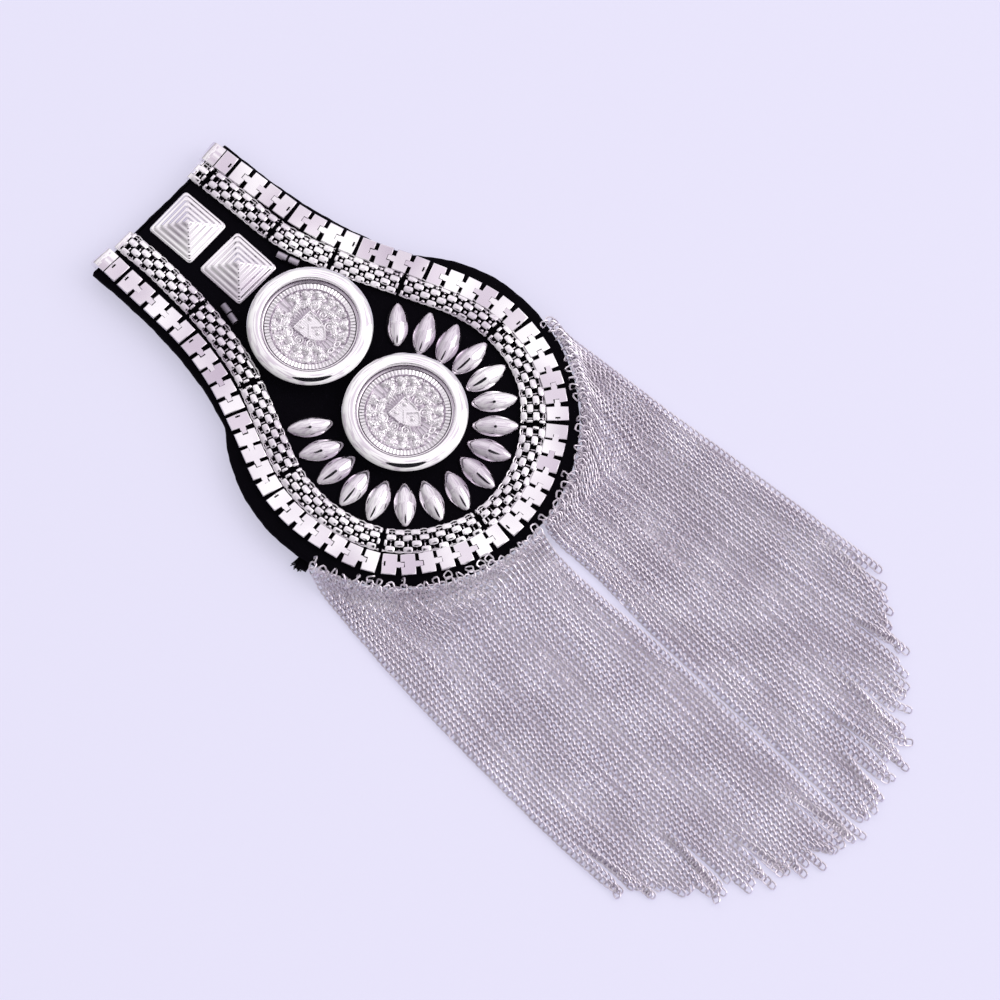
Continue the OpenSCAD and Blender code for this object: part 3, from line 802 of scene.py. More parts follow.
def shield_height(x, y):
    """A raised rim, a sunk field of fine upright lines and a chevron, from the distance
    inside a heater shield."""
    half, top, knee = 2.6, 3.0, 0.55
    low = 2 * half - np.hypot(np.abs(x) + half, np.minimum(y - knee, 0))
    inside = np.minimum(np.minimum(half - np.abs(x), low), top - y)
    rim = 0.8 * smooth_step(0, 0.18, inside) - 0.35 * smooth_step(0.42, 0.6, inside)
    lines = 0.05 * smooth_step(0.6, 0.7, inside) * np.sin(2 * np.pi * x / 0.42)
    band = 0.55 - np.abs(y + 0.95 * np.abs(x) - 0.5)
    chevron = 0.42 * smooth_step(0, 0.15, band) * smooth_step(0.5, 0.6, inside)
    studs = 0 * x
    for px, py in ((-1.25, 1.65), (1.25, 1.65), (0, -1.55)):
        studs = np.maximum(studs, 0.45 * dome(((x - px) ** 2 + (y - py) ** 2) / 0.3))
    return np.where(inside > 0, rim + np.maximum(np.maximum(lines, chevron), studs), 0)


def star_height(x, y, size):
    """Five points with a ridge down each: highest in the middle, zero on the outline."""
    a = np.degrees(np.arctan2(x, y)) % 72
    a = np.minimum(a, 72 - a)
    r = np.hypot(x, y)
    waist = 0.42
    px, py = r * np.cos(np.radians(a)), r * np.sin(np.radians(a))
    inner = waist * size * ray(36)
    slope = (size - inner[0]) / inner[1]
    reach = (px + py * slope) / size
    return 0.95 * np.clip(1 - reach, 0, None) ** 0.8


LIP_PROFILE = (
    (0, 0.1), (0.03, 0.42), (0.1, 0.56), (0.2, 0.6), (0.3, 0.54), (0.35, 0.36), (0.37, 0.05), (0.42, -0.1),
)


def button_shape(place, sizes):
    """A dish turned about its axis: ornamented field, reeded ring, narrow lip, groove,
    rolled rim and a flat back. The height is a function of radius and angle, and the rim
    is highest inside and falls outward as an ellipse: r = c + a cos q, z = high - b + b sin q.
    Also how much painted shade each point takes: 0 on the rim, part on the field, 1 in its
    lows and the grooves on either side of the lip; the same amount makes the field satin."""
    around = 300
    outer = sizes.diameter / MM / 2
    high = sizes.height / MM
    wide, drop = sizes.rim / MM - 0.8, 1.6
    field_r = outer - sizes.rim / MM - 0.2
    field_z = high - 1.5
    a = np.arange(around) * 360 / around
    r = np.linspace(0.15, field_r, 66)[:, None] + 0 * a[None]
    out = ray(a)
    x, y = r * out[:, 0], r * out[:, 1]
    ornament = ornament_height(x, y) * (1 - smooth_step(field_r - 1.5, field_r - 1.3, r))
    ring = smooth_step(field_r - 1.3, field_r - 1.15, r) * (1 - smooth_step(field_r - 0.15, field_r, r))
    reeds = 0.5 + 0.5 * np.cos(np.radians(a) * sizes.reeds)[None]
    z = field_z + ornament + ring * (0.32 + 0.2 * reeds)
    turns = np.radians(np.linspace(90, 28, 17))
    crest = outer - wide
    spread = wide / math.cos(turns[-1])
    roll = np.column_stack([crest + spread * np.cos(turns), high - drop + drop * np.sin(turns)])
    wall = [[-0.38, field_z - high - 0.1], [-0.33, -0.34], [-0.28, -0.16], [-0.18, -0.05]]
    foot = [[outer - 0.12, high - drop + 0.3], [outer - 0.6, high - drop]]
    roll = np.concatenate([np.array(wall) + [crest, high], roll, foot])
    rim = np.concatenate([np.array(LIP_PROFILE) + [field_r, field_z], roll])
    rim_r, rim_z = rim[:, :1] + 0 * a[None], rim[:, 1:] + 0 * a[None]
    foot_r = np.full((1, around), outer - 0.7)
    all_r = np.concatenate([r, rim_r, foot_r])
    all_z = np.concatenate([z, rim_z, 0 * foot_r])
    rings = np.stack([all_r * out[:, 0], all_r * out[:, 1], all_z], axis=-1)
    # Painted shade: the darker second colour is mixed in fully in the field's lows and the grooves beside
    # the lip, and a quarter of it on the rest of the field
    satin = SATIN_RECESS
    hollow = satin + (1 - satin) * (1 - smooth_step(0.0, 0.45, z - field_z))
    hollow = np.concatenate([hollow, 0 * rim_r, 0 * foot_r])
    lip_end = len(r) + len(LIP_PROFILE)
    hollow[len(r) : len(r) + 3] = 1
    hollow[lip_end - 2 : lip_end + 1] = 1
    shape = loft(rings)
    return (shape[0] + [place[0], place[1], TOP_Z], shape[1]), hollow


def square_stud_shape(place, turn, sizes):
    """A pyramid of rounded squares on a rounded edge: the side shrinks evenly to the top,
    and the height climbs by sloping steps with narrow treads."""
    steps, half, high = 5, sizes.square / MM / 2, 3.8
    t = np.linspace(0, 1, 61)[:-1]
    part = (t * steps + 0.3) % 1
    stair = (np.floor(t * steps + 0.3) - 0.3 + smooth_step(0.3, 1.0, part)) / steps
    z = 0.66 + (high - 0.66) * (0.45 * t + 0.55 * np.clip(stair, 0, 1))
    size = (half - 0.42) * (1 - t) + 0.06
    edge = np.radians([0, 30, 60, 80])
    z = np.concatenate([[0, 0.1], 0.1 + 0.5 * np.sin(edge), z])
    size = np.concatenate([[half - 0.15, half - 0.03], half - 0.4 * (1 - np.cos(edge)), size])
    corner = np.clip(0.85 - 0.11 * (half - size), 0.04, 0.5 * size)[:, None, None]
    quarter = np.repeat(np.arange(4), 6)
    bend = np.tile(np.linspace(0, 90, 6), 4)
    mid = np.sqrt(2) * ray(quarter * 90 + 45)
    flat = (size[:, None, None] - corner) * mid[None] + corner * ray(quarter * 90 + bend)[None]
    rings = np.concatenate([flat, np.broadcast_to(z[:, None, None], (*flat.shape[:2], 1))], axis=-1)
    verts, faces = loft(rings)
    c, s = ray(turn)
    turned = np.array([[c, s, 0], [-s, c, 0], [0, 0, 1]])
    return verts @ turned + [place[0], place[1], TOP_Z], faces


def pointed_stud_shape(sizes):
    """A long dome with blunt tips on an upright foot.

    Half width r(x) = n + (w - n) (1 - (x / l)^2)^0.8, with n at the blunt tips. The ridge
    falls from the middle as k (sqrt(x^2 + a^2) - a), nearly straight until it rounds off at
    the tips as sqrt(1 - |x / l|), and the section falls from it to the foot as
    (1 - t^2)^0.9, where t is the distance across over r.
    """
    half_l, half_w, high = sizes.pointed_length / MM / 2, sizes.pointed_width / MM / 2, 2.3
    blunt, fall, soft = 0.42, 0.48, 2.0
    u = np.sin(np.radians(np.linspace(-86, 86, 35)))
    r = (half_w - blunt) * (1 - u**2) ** 0.8 + blunt
    ridge = high - fall * (np.sqrt((half_l * u) ** 2 + soft**2) - soft)
    ridge = np.minimum(ridge, 0.45 + 1.6 * (1 - np.abs(u)) ** 0.5)
    t = np.sin(np.radians(np.linspace(90, -90, 29)))
    y = r[:, None] * t[None]
    foot = 0.32
    z = foot + (ridge[:, None] - foot) * (1 - t[None] ** 2) ** 0.9
    z[:, [0, -1]] = 0.05
    floor_y = r[:, None] * np.linspace(-0.98, 0.98, 5)[None]
    y = np.concatenate([y, floor_y], axis=1)
    z = np.concatenate([z, 0 * floor_y], axis=1)
    x = np.broadcast_to((half_l * u / u[-1])[:, None], y.shape)
    return loft(np.stack([x, y, z], axis=-1))


# The fringe


def side_of(m):
    """-1 for a chain on the left of the parting and 1 for one on the right."""
    return -1 if m < 0 else 1


def step_angle(m):
    """Angle round the board's edge from one chain to the next."""
    outer = LEFT_A if m < 0 else RIGHT_A
    return (outer - side_of(m) * PART_A) / (STRANDS - 0.5)


def lane_x(m, y):
    """Place across of chain m at heights y: between the parting, or the board's edge
    beside the board, and the fringe's outer edge, shared evenly among the chains."""
    side = side_of(m)
    start, spread, slowing = FRINGE_SIDES[side]
    down = FRINGE_TOP - y
    outer = side * (start + spread * down - slowing * down**2)
    beside = y >= -EDGE_R
    foot = np.degrees(np.arccos(np.clip(-y / EDGE_R, -1, 1)))
    foot = np.where(beside, foot, 0)
    rank = STRANDS - abs(m)
    so_far = ((LEFT_A if m < 0 else RIGHT_A) - foot) / step_angle(m) + 0.5
    parting = PARTING["x"] + PARTING["lean"] * (y - PARTING["y"])
    inner = np.where(beside, ROUND_X + side * EDGE_R * np.sin(np.radians(foot)), parting)
    share = np.where(beside, np.minimum(1, rank / np.maximum(0.5, so_far)), rank / STRANDS)
    opening = PARTING["half"] * np.exp(-(((y - PARTING["y"]) / PARTING["reach"]) ** 2))
    return outer + (inner - outer) * share + side * opening * np.exp(-(abs(m) - 0.5) / 3)


def strand_path(m, rng, stray, below):
    """Middle line of chain m: over the board's edge, down to the table and along it,
    with a slow sway, and a stray end that lifts over its neighbours and leans across.
    A chain of the row below starts under the edge, and ends a little sooner."""
    a = PART_A + m * step_angle(m)
    out = np.array([math.sin(math.radians(a)), -math.cos(math.radians(a))])
    edge_y = -EDGE_R * math.cos(math.radians(a))
    lane_end = TIP_Y + 1 + TIP_CURVE * (lane_x(m, np.array([TIP_Y]))[0] - TIP_X) ** 2
    tip = lane_end + math.sin(math.radians(TIP_VARY_A * m)) + rng.uniform(-0.6, 0.6) + 1.5 * below
    y = np.arange(edge_y - 7, tip, -1.0)
    x = lane_x(m, y)
    falling = np.array([[edge_y - 1.3, 3.6], [edge_y - 3.2, 1.9], [edge_y - 5.2, 0.95]])
    root = np.array([ROUND_X, 0]) + rng.uniform(-0.35, 0.35) * out[::-1] * [-1, 1]
    first = [
        [*(root + (35.9 if below else rng.uniform(34.0, 36.0)) * out), TOP_Z + 0.42],
        [*(root + 36.1 * out), TOP_Z + 0.42],
        [*(root + 36.9 * out), TOP_Z - 0.1],
    ]
    down = np.column_stack([lane_x(m, falling[:, 0]), falling])
    ease = smooth_step(0, 18, edge_y - y)
    sway = 0 * y
    for wave in (46.0, 21.0, 9.0):
        sway += 0.0018 * wave * rng.normal() * np.sin(2 * np.pi * (y / wave + rng.uniform()))
    z = np.full(len(y), 0.5 if below else 0.95)
    shift, reach, lift = stray
    near_tip = smooth_step(reach, 0, y - tip)
    curl = rng.normal(0, 0.9) * np.clip(1 - (y - tip) / 5, 0, 1) ** 2
    x = x + ease * sway + shift * near_tip + curl
    z = z + lift * np.sin(np.pi * np.clip(near_tip * 1.15, 0, 1)) ** 0.7
    points = np.concatenate([first, down, np.column_stack([x, y, z])])
    run = run_of(points)
    dense = points_at(np.arange(0, run[-1], 0.2), run, points)
    kernel = np.hanning(11)
    kernel /= kernel.sum()
    padded = np.pad(dense, ((5, 5), (0, 0)), mode="reflect", reflect_type="odd")
    return np.column_stack([np.convolve(padded[:, i], kernel, "valid") for i in range(3)])


def link_shape(length, width, wire, around=10, sides=5):
    """Ring of round wire: the middle line is a rounded oval, |x/a|^3 + |y/b|^3 = 1, twisted
    as a saddle, z = xy / 2 in millimetres, so that the ends of the next links pass through
    it, and each ring of the wire stands across it."""
    w = np.arange(around) * 360 / around
    oval = np.sign(ray(w)) * np.abs(ray(w)) ** (2 / 3) * [(length - wire) / 2, (width - wire) / 2]
    ahead = unit(np.roll(oval, -1, axis=0) - np.roll(oval, 1, axis=0))
    turn = wire / 2 * ray(np.arange(sides) * 360 / sides)[None]
    flat = oval[:, None] + turn[:, :, :1] * (ahead[:, None, ::-1] * [1, -1])
    z = turn[:, :, 1:] + 0.5 * np.prod(oval, axis=1)[:, None, None]
    return loft(np.concatenate([flat, z], axis=-1), closed=True)


STRAYS = {
    -20.5: (1.6, 20, 0.9), -13.5: (-2.3, 24, 1.0), -9.5: (1.7, 18, 0.9), -2.5: (2.4, 22, 1.0),
    4.5: (-2.0, 20, 1.0), 6.5: (1.8, 26, 0.9), 10.5: (-2.2, 22, 1.0), 15.5: (1.9, 17, 0.9),
    20.5: (-1.9, 19, 1.0),
}


def fringe_shape(side, sizes, rng, below):
    """The chains of one side and one row. Links lie a pitch apart on each strand's line
    and lean the same way, on top of a slow twist of the strand. The first ones, on the
    board's edge, lie at odd angles. The row below lies between the chains above."""
    length, width = sizes.link_length / MM, sizes.link_width / MM
    wire, pitch = sizes.wire / MM, sizes.pitch / MM
    half = (width - wire) / 2
    axes, places = [], []
    z = np.array([0.0, 0.0, 1.0])
    for k in range(STRANDS - below):
        m = side * (k + 0.5 + 0.5 * below)
        path = strand_path(m, rng, STRAYS.get(m, (0.0, 10, 0.0)), below)
        run = run_of(path)
        s = np.arange(0.6, run[-1] - 0.2, pitch)
        middle = points_at(s, run, path)
        dx, dy, dz = np.gradient(middle, axis=0).T
        yaw = rng.normal(0, 2.5, len(s)) + rng.normal(0, 45, len(s)) * np.exp(-s / 1.6)
        c, t = ray(yaw).T
        along = unit(np.column_stack([c * dx - t * dy, t * dx + c * dy, dz]))
        level = unit(np.cross(z, along))
        above = np.cross(along, level)
        twist = rng.normal(LINK_LEAN_A, 4)
        twist = twist + 6 * np.sin(2 * np.pi * (s / rng.uniform(25, 60) + rng.uniform()))
        roll = twist + rng.normal(0, 4, len(s))
        roll = np.radians(np.where(s < 1.6, rng.uniform(-90, 90, len(s)), roll))
        wide = np.cos(roll)[:, None] * level + np.sin(roll)[:, None] * above
        least = half * np.abs(np.sin(roll)) + 0.3 * np.cos(roll) + wire / 2 + 0.02
        middle[:, 2] = np.maximum(middle[:, 2] - 0.1 * np.cos(roll) ** 2, least)
        axes.append(np.stack([along, wide, np.cross(along, wide)], axis=1))
        places.append(middle)
    return copies(link_shape(length, width, wire), np.concatenate(axes), np.concatenate(places))


# Settings that a user would change


def number(name, description, value, **kind):
    """A number property. kind gives its unit or subtype."""
    return bpy.props.FloatProperty(name=name, description=description, default=value, **kind)


def millimetres(name, description, value):
    """A length property whose default is given in millimetres."""
    return number(name, description, value * MM, precision=5, subtype="DISTANCE", unit="LENGTH")


def angle(name, description, value):
    """An angle property whose default is given in degrees."""
    return number(name, description, math.radians(value), subtype="ANGLE", unit="ROTATION")


def whole_number(name, description, value):
    """A property that is a whole number."""
    return bpy.props.IntProperty(name=name, description=description, default=value, min=0)


def shade(name, description, code):
    """A colour property whose default is an sRGB hex code."""
    return bpy.props.FloatVectorProperty(
        name=name, description=description, default=colour(code), size=4, subtype="COLOR", min=0, max=1
    )


class ChainSettings(bpy.types.PropertyGroup):
    """Sizes of the border chain's plates."""

    width: millimetres("Width", "Width of a plate across the chain", 4.5)
    thickness: millimetres("Thickness", "Thickness of a plate", 1.3)
    slot: millimetres("Slot", "Width of the slot between two plates", 0.75)
    tongue: millimetres("Tongue", "Width of the tongue between two plates", 1.3)
    edge: millimetres("Edge", "Radius of a plate's rounded top edge", 0.2)


class BandSettings(bpy.types.PropertyGroup):
    """Sizes of the woven band."""

    thickness: millimetres("Thickness", "Height of the pads above the board", 1.4)
    pitch: millimetres("Pitch", "Distance from one pad to the next in its column", 3.42)
    column_width: millimetres("Column width", "Distance from one column of pads to the next", 1.22)
    pad_length: millimetres("Pad length", "Length of a pad along the band", 2.05)


class StudSettings(bpy.types.PropertyGroup):
    """Sizes of the buttons and studs."""

    diameter: millimetres("Button diameter", "Outer diameter of a round button", 25.4)
    height: millimetres("Button height", "Height of a round button", 3.9)
    rim: millimetres("Button rim", "Width of the button's rolled rim", 3.2)
    reeds: whole_number("Reeds", "Reeds in the button's ring", 76)
    square: millimetres("Square stud", "Side of a square stud", 11.4)
    pointed_length: millimetres("Pointed stud length", "Length of a pointed stud", 9.4)
    pointed_width: millimetres("Pointed stud width", "Width of a pointed stud", 4.7)


class FringeSettings(bpy.types.PropertyGroup):
    """Sizes of the fringe's chains."""

    link_length: millimetres("Link length", "Outer length of a link", 2.08)
    link_width: millimetres("Link width", "Outer width of a link", 1.82)
    wire: millimetres("Wire", "Diameter of a link's wire", 0.4)
    pitch: millimetres("Pitch", "Distance from one link to the next", 1.29)
    seed: whole_number("Seed", "Seed of the chains' small irregularities", 7)


class FinishSettings(bpy.types.PropertyGroup):
    """Colours of the finishes."""

    silver: shade("Silver", "Colour of the bright plating", "#F8F6F8")
    dull: shade("Dull silver", "Colour of the plating where it is dulled", "#D6CED8")
    link: shade("Links", "Colour of the plating on the fringe's links", "#ECE7EE")
    link_dull: shade("Dull links", "Colour of the links where the plating is dulled", "#DED7E0")
    # Painted shade: the buttons' hollows and the grooves beside the lip are mixed towards this colour
    hollow: shade("Hollows", "Colour of the hollows in the buttons", "#D0C8D2")
    tube: shade("Tube beads", "Colour of the tube beads", "#B4ADB8")
    tube_dull: shade("Dull tube beads", "Colour of the tube beads where they are dulled", "#8C8692")
    steel: shade("Pin steel", "Colour of the pin bars", "#C9C8CC")
    steel_dull: shade("Dull pin steel", "Colour of the pin bars where they are dulled", "#9C9BA0")
    cloth: shade("Cloth", "Colour of the cloth in its hollows", "#030205")
    cloth_light: shade("Cloth fibres", "Colour of the cloth's raised fibres", "#08060D")
    table: shade("Table", "Colour of the lit table", "#E8E6FB")


class StudioSettings(bpy.types.PropertyGroup):
    """Lights and camera."""

    side: number("Side softbox", "Power of the softbox", 3.2, unit="POWER")
    glow: number("Table light", "Share of the table's light from below", 0.55)
    tent: number("Tent", "Strength of the light tent", 1.25)
    azimuth: angle("Azimuth", "Camera's way round", -46.4)
    elevation: angle("Elevation", "Camera's height", 69.2)
    width: millimetres("View width", "Width of the view at the epaulette", 200)
    distance: millimetres("Distance", "Distance of the camera", 6000)


class EpauletteSettings(bpy.types.PropertyGroup):
    """All settings of the epaulette."""

    chain: bpy.props.PointerProperty(type=ChainSettings)
    band: bpy.props.PointerProperty(type=BandSettings)
    studs: bpy.props.PointerProperty(type=StudSettings)
    fringe: bpy.props.PointerProperty(type=FringeSettings)
    finish: bpy.props.PointerProperty(type=FinishSettings)
    studio: bpy.props.PointerProperty(type=StudioSettings)


# Finishes

# Each metal's colour and its colour where dulled, as the settings name them, its
# roughness and how much it rises, the size and depth of its dents in millimetres, and
# True where it was struck in a die. For struck metal the second colour is instead the
# painted shade of its hollows and grooves
METALS = {
    # Rhodium over stamped brass: nearly a mirror, so each flat plate is one clean tone
    "rhodium_plated_plate": ("silver", "dull", 0.06, 0.06, 2.6, 0.003),
    # Flat wire, woven and then plated: small soft glints on every pad
    "plated_woven_wire": ("silver", "dull", 0.12, 0.08, 0.5, 0.004),
    # Brass struck in a die and plated: a mirror rim round a satin field, with painted shade darkening the
    # hollows and grooves
    "struck_plated_brass": ("silver", "hollow", 0.06, 0.2, 0.8, 0.001, True),
    # Brass pressed, plated and buffed: clear reflections with soft edges
    "polished_plated_stud": ("silver", "dull", 0.07, 0.05, 1.6, 0.006),
    # Steel wire, bent and plated: a blurred glint along each strand
    "plated_steel_link": ("link", "link_dull", 0.34, 0.08, 0.6, 0.004),
    # Plated tube, cut short and worn: a grey sheen
    "dulled_plated_tube": ("tube", "tube_dull", 0.28, 0.1, 1.0, 0.004),
    # Steel wire, drawn and left bright: a soft streak
    "bright_pin_steel": ("steel", "steel_dull", 0.25, 0.12, 1.2, 0.004),
}
# Each cloth's fibres across, drawn as coarse as they need to show, and its nap's depth
CLOTHS = {
    # Wool felted until no weave shows: a deep black that light hardly lifts
    "felted_black_wool": (0.28, 0.12),
    # Cotton woven as a narrow tape: black, a little coarser and flatter
    "black_cotton_tape": (0.4, 0.08),
}
FINISHES = {}


def finish_of(name):
    """The material of that name, made once when it is first asked for."""
    look = bpy.context.scene.epaulette.finish
    if name not in FINISHES and name in METALS:
        tint, dull, *rest = METALS[name]
        FINISHES[name] = plated_metal(name, tuple(getattr(look, tint)), tuple(getattr(look, dull)), *rest)
    elif name not in FINISHES:
        FINISHES[name] = felted_cloth(name, tuple(look.cloth), tuple(look.cloth_light), *CLOTHS[name])
    return FINISHES[name]


# Operators: one for each piece or group of like pieces, and one for the stage


class EPAULETTE_OT_board(bpy.types.Operator):
    """Add the cloth covered board and the tape under its edge"""

    bl_idname = "epaulette.board"
    bl_label = "Board"

    def execute(self, context):
        rng = np.random.default_rng(SEEDS["board"])
        new_piece("cloth_board", board_shape(), finish_of("felted_black_wool"), ["board"])
        new_piece("tape_raw_end", raw_end_shape(rng), finish_of("black_cotton_tape"))
        paint_node("fringe_tape", finish_of("black_cotton_tape"))
        return {"FINISHED"}


class EPAULETTE_OT_border_chain(bpy.types.Operator):
    """Add the border chain of interlocking plates"""

    bl_idname = "epaulette.border_chain"
    bl_label = "Border chain"

    def execute(self, context):
        rng = np.random.default_rng(SEEDS["border_chain"])
        shape = border_chain_shape(context.scene.epaulette.chain, rng)
        replaced = ["border_chain_right", "border_chain_left"]
        new_piece("border_chain_plates", shape, finish_of("rhodium_plated_plate"), replaced)
        return {"FINISHED"}


class EPAULETTE_OT_woven_band(bpy.types.Operator):
    """Add the woven metal band"""

    bl_idname = "epaulette.woven_band"
    bl_label = "Woven band"

    def execute(self, context):
        rng = np.random.default_rng(SEEDS["woven_band"])
        shape = woven_band_shape(context.scene.epaulette.band, rng)
        new_piece("woven_band_wires", shape, finish_of("plated_woven_wire"), ["woven_band"])
        return {"FINISHED"}


class EPAULETTE_OT_buttons(bpy.types.Operator):
    """Add the two round buttons"""

    bl_idname = "epaulette.buttons"
    bl_label = "Buttons"

    def execute(self, context):
        for node in ("button_upper", "button_lower"):
            low, high = node_box(node)
            middle = (low + high) / 2 - HOME
            shape, hollow = button_shape(middle, context.scene.epaulette.studs)
            finish = finish_of("struck_plated_brass")
            # The attribute recess carries the painted shade of the hollows and grooves
            new_piece(node + "_struck", shape, finish, [node], recess=hollow)
        return {"FINISHED"}


class EPAULETTE_OT_square_studs(bpy.types.Operator):
    """Add the two square stepped studs"""

    bl_idname = "epaulette.square_studs"
    bl_label = "Square studs"

    def execute(self, context):
        for node, turn in (("square_stud_upper", 1.5), ("square_stud_lower", 0.0)):
            low, high = node_box(node)
            shape = square_stud_shape((low + high) / 2 - HOME, turn, context.scene.epaulette.studs)
            new_piece(node + "_ribbed", shape, finish_of("polished_plated_stud"), [node])
        return {"FINISHED"}


class EPAULETTE_OT_pointed_studs(bpy.types.Operator):
    """Add the ring of pointed studs, each where its solid lies"""

    bl_idname = "epaulette.pointed_studs"
    bl_label = "Pointed studs"

    def execute(self, context):
        base = pointed_stud_shape(context.scene.epaulette.studs)
        low, high = node_box("button_lower")
        hub = (low + high) / 2
        for node in sorted(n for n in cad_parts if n.startswith("navette_")):
            low, high = node_box(node)
            middle = (low + high) / 2
            axis = long_axis(node, middle - hub)
            axes = np.array([[axis[0], axis[1], 0], [-axis[1], axis[0], 0], [0, 0, 1]])[None]
            places = np.array([[middle[0], middle[1], TOP_Z]]) - HOME
            shape = copies(base, axes, places)
            new_piece(node + "_polished", shape, finish_of("polished_plated_stud"), [node])
        return {"FINISHED"}


def long_axis(node, outward):
    """Direction in plan of a solid part's greatest spread, pointing outward."""
    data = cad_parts[node].data
    points = np.zeros(len(data.vertices) * 3, np.float32)
    data.vertices.foreach_get("co", points)
    flat = points.reshape(-1, 3)[:, :2].astype(float)
    flat = flat - (flat.max(0) + flat.min(0)) / 2
    axis = np.linalg.eigh(flat.T @ flat)[1][:, -1]
    return axis if axis @ outward[:2] > 0 else -axis


class EPAULETTE_OT_small_parts(bpy.types.Operator):
    """Give the tube beads and the pin bars their finishes"""

    bl_idname = "epaulette.small_parts"
    bl_label = "Small parts"

    def execute(self, context):
        for i in range(1, 5):
            paint_node(f"tube_bead_{i}", finish_of("dulled_plated_tube"))
        for node in ("pin_upper", "pin_lower"):
            paint_node(node, finish_of("bright_pin_steel"))
        return {"FINISHED"}


class EPAULETTE_OT_fringe(bpy.types.Operator):
    """Add the chains of the fringe, two rows for each side of the parting"""

    bl_idname = "epaulette.fringe"
    bl_label = "Fringe"

    def execute(self, context):
        sizes = context.scene.epaulette.fringe
        for side, node in ((-1, "fringe_left"), (1, "fringe_right")):
            for row, below in (("_chains", False), ("_lower_chains", True)):
                rng = np.random.default_rng(sizes.seed + side + 10 * below)
                shape = fringe_shape(side, sizes, rng, below)
                new_piece(node + row, shape, finish_of("plated_steel_link"), [node])
        return {"FINISHED"}


class EPAULETTE_OT_stage(bpy.types.Operator):
    """Add the table, the lights and the camera"""

    bl_idname = "epaulette.stage"
    bl_label = "Stage"

    def execute(self, context):
        scene, settings = context.scene, context.scene.epaulette
        add_table(scene, settings.finish.table, settings.studio.glow)
        add_camera(scene, settings.studio)
        add_lights(scene, settings.studio)
        return {"FINISHED"}


# The point in the photograph's middle, in millimetres along the camera's directions
VIEW_MIDDLE = np.array([19.36, -14.7, 7.7])


def view_directions(studio):
    """The camera's directions: right, up in the picture, and back from the object."""
    a, e = studio.azimuth, studio.elevation
    right = np.array([math.cos(a), math.sin(a), 0])
    back = np.array([math.sin(a) * math.cos(e), -math.cos(a) * math.cos(e), math.sin(e)])
    return right, np.cross(back, right), back


def add_table(scene, tint, glow):
    """A pale light table just under the epaulette."""
    half, top = 4.0, -0.02 * MM
    corners = [(half * x, half * y, top) for x, y in ((-1, -1), (1, -1), (1, 1), (-1, 1))]
    mesh = bpy.data.meshes.new("table")
    mesh.from_pydata(corners, [], [(0, 1, 2, 3)])
    mesh.materials.append(lit_acrylic("lit_acrylic", tuple(tint), glow))
    table = bpy.data.objects.new("table", mesh)
    scene.collection.objects.link(table)


def add_camera(scene, studio):
    """A long lens, so that the view hardly narrows with distance, aimed at the point
    that the photograph's middle shows."""
    axes = np.array(view_directions(studio))
    target = (VIEW_MIDDLE @ axes + HOME) * MM
    data = bpy.data.cameras.new("camera")
    data.sensor_width = 36
    data.lens = data.sensor_width * studio.distance / studio.width
    data.clip_end = 100
    camera = bpy.data.objects.new("camera", data)
    rows = np.column_stack([*axes, target + axes[2] * studio.distance])
    camera.matrix_world = Matrix([*rows.tolist(), [0, 0, 0, 1]])
    scene.collection.objects.link(camera)
    scene.camera = camera


def add_softbox(scene, power):
    """A square area light on the right that faces the epaulette."""
    data = bpy.data.lights.new("side_softbox", "AREA")
    data.shape = "SQUARE"
    data.size = 0.8
    data.energy = power
    data.color = colour("#FFFAF8")[:3]
    light = bpy.data.objects.new("side_softbox", data)
    way, distance = Vector((0.6, -0.5, 0.62)).normalized(), 1.2
    light.location = way * distance
    light.rotation_euler = way.to_track_quat("Z", "Y").to_euler()
    scene.collection.objects.link(light)


def add_lights(scene, studio):
    """A softbox on the right in a light tent, with a dark card where the camera stands,
    which the polished domes show as a small dark slit."""
    add_softbox(scene, studio.side)
    scene.world = light_tent(studio)
    add_dark_card(scene, view_directions(studio)[2])
    scene.view_settings.view_transform = "Standard"


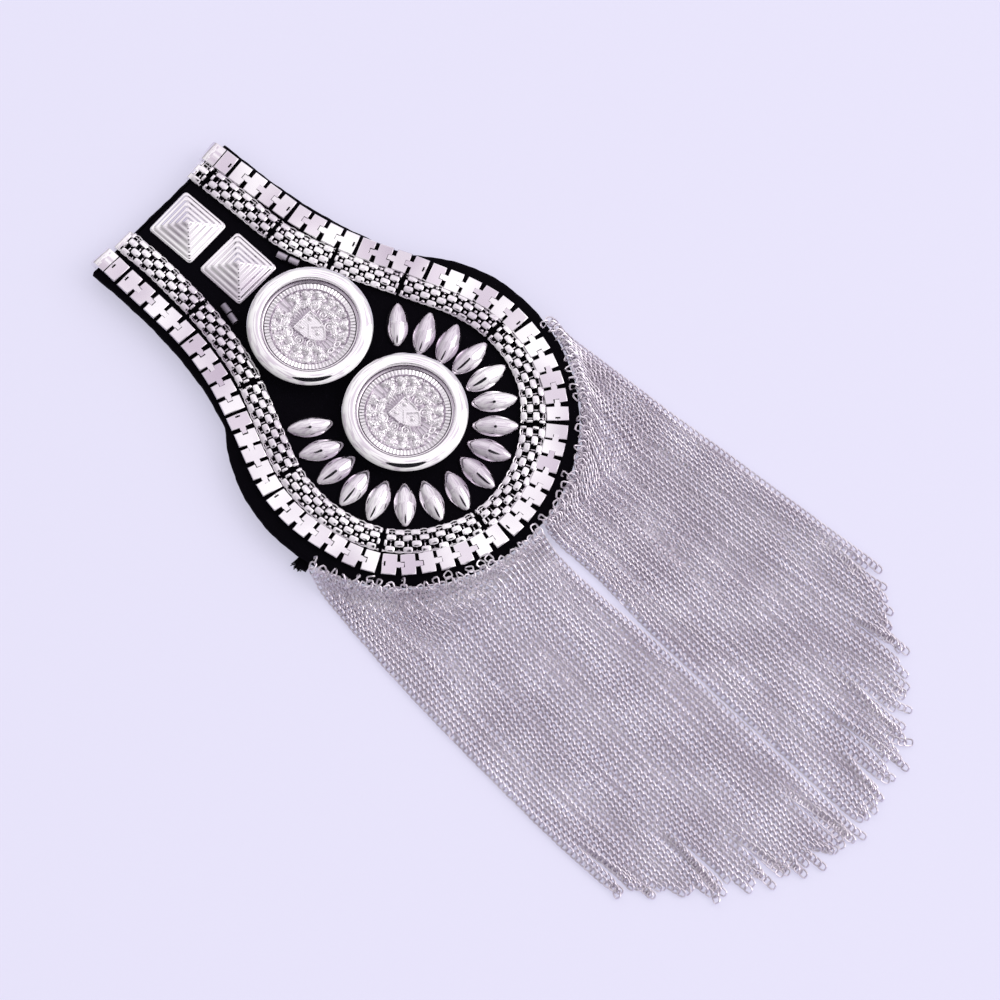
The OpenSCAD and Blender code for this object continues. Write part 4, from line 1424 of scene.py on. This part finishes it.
def light_tent(studio):
    """White cloth all round, lit from the right and the front: its brightness is a ramp of
    d . a, where d is the direction and a points at the lit side, less towards the table,
    with slow folds that polished plates show as patches of rose and white."""
    world = bpy.data.worlds.new("light_tent")
    world.use_nodes = True
    tree = world.node_tree
    tree.nodes.clear()
    output = add_node(tree, "ShaderNodeOutputWorld")
    way = add_node(tree, "ShaderNodeTexCoord").outputs["Generated"]
    lit_side = {0: way, 1: (0.93, -0.1, 0.35)}
    toward = add_node(tree, "ShaderNodeVectorMath", lit_side, operation="DOT_PRODUCT").outputs["Value"]
    reach = {"Value": toward, "From Min": -1.0, "From Max": 1.0}
    level = add_node(tree, "ShaderNodeMapRange", reach).outputs["Result"]
    ramp = add_node(tree, "ShaderNodeValToRGB", {"Fac": level})
    stops = ((0.15, 0.42), (0.24, 0.48), (0.595, 0.82), (0.77, 0.99), (1.0, 1.03))
    band = ramp.color_ramp
    band.elements[0].position, band.elements[1].position = stops[0][0], stops[-1][0]
    for place, _ in stops[1:-1]:
        band.elements.new(place)
    for element, (_, value) in zip(band.elements, stops):
        element.color = (value, value * 0.985, value, 1)
    height = add_node(tree, "ShaderNodeSeparateXYZ", {"Vector": way}).outputs["Z"]
    near_table = {"Value": height, "From Max": 0.5, "To Min": 0.5}
    low = add_node(tree, "ShaderNodeMapRange", near_table).outputs["Result"]
    power = add_node(tree, "ShaderNodeMath", {0: low, 1: studio.tent}, operation="MULTIPLY").outputs["Value"]
    folded = {"Vector": way, "Scale": 6.0, "Detail": 1.0}
    folds = add_node(tree, "ShaderNodeTexNoise", folded).outputs["Fac"]
    edges = {"Value": folds, "From Min": 0.4, "From Max": 0.5}
    patch = add_node(tree, "ShaderNodeMapRange", edges).outputs["Result"]
    tints = {"Factor": patch, "A": colour("#DCD3DE"), "B": colour("#FFFFFF")}
    rose = add_node(tree, "ShaderNodeMix", tints, data_type="RGBA").outputs["Result"]
    both = {"Factor": 1.0, "A": ramp.outputs["Color"], "B": rose}
    cloth = add_node(tree, "ShaderNodeMix", both, data_type="RGBA", blend_type="MULTIPLY").outputs["Result"]
    sky = add_node(tree, "ShaderNodeBackground", {"Color": cloth, "Strength": power})
    tree.links.new(sky.outputs["Background"], output.inputs["Surface"])
    return world


def add_dark_card(scene, back):
    """A dark disc round the camera's line of sight, seen only in reflections."""
    distance, radius, corners = 1.6, 0.42, 24
    mesh = bpy.data.meshes.new("camera_card")
    side = unit(np.cross([[0, 0, 1]], back))[0]
    turned = ray(np.arange(corners) * 360 / corners) @ np.array([side, np.cross(back, side)])
    rim = back * distance + radius * turned
    mesh.from_pydata(rim.tolist(), [], [tuple(range(corners))])
    mesh.materials.append(plain_card("black_card", "#101014"))
    card = bpy.data.objects.new("camera_card", mesh)
    card.visible_camera = False
    card.visible_shadow = False
    card.visible_diffuse = False
    scene.collection.objects.link(card)


class EPAULETTE_PT_panel(bpy.types.Panel):
    """The epaulette's settings and buttons"""

    bl_label = "Chain epaulette"
    bl_idname = "EPAULETTE_PT_panel"
    bl_space_type = "VIEW_3D"
    bl_region_type = "UI"
    bl_category = "Epaulette"

    def draw(self, context):
        settings = context.scene.epaulette
        for group in ("chain", "band", "studs", "fringe", "finish", "studio"):
            box = self.layout.box()
            box.label(text=group.capitalize())
            held = getattr(settings, group)
            for name in held.__annotations__:
                box.prop(held, name)
        for operator in OPERATORS:
            self.layout.operator(operator.bl_idname)


GROUPS = (
    ChainSettings,
    BandSettings,
    StudSettings,
    FringeSettings,
    FinishSettings,
    StudioSettings,
    EpauletteSettings,
)
OPERATORS = (
    EPAULETTE_OT_board,
    EPAULETTE_OT_border_chain,
    EPAULETTE_OT_woven_band,
    EPAULETTE_OT_buttons,
    EPAULETTE_OT_square_studs,
    EPAULETTE_OT_pointed_studs,
    EPAULETTE_OT_small_parts,
    EPAULETTE_OT_fringe,
    EPAULETTE_OT_stage,
)


def register():
    """Registers the settings, the operators and the panel."""
    for item in (*GROUPS, *OPERATORS, EPAULETTE_PT_panel):
        bpy.utils.register_class(item)
    bpy.types.Scene.epaulette = bpy.props.PointerProperty(type=EpauletteSettings)


def unregister():
    """Takes them out again, in the opposite order."""
    del bpy.types.Scene.epaulette
    for item in reversed((*GROUPS, *OPERATORS, EPAULETTE_PT_panel)):
        bpy.utils.unregister_class(item)


def main():
    """Builds every piece and the stage."""
    register()
    for operator in OPERATORS:
        group, name = operator.bl_idname.split(".")
        getattr(getattr(bpy.ops, group), name)()


if __name__ == "__main__":
    main()
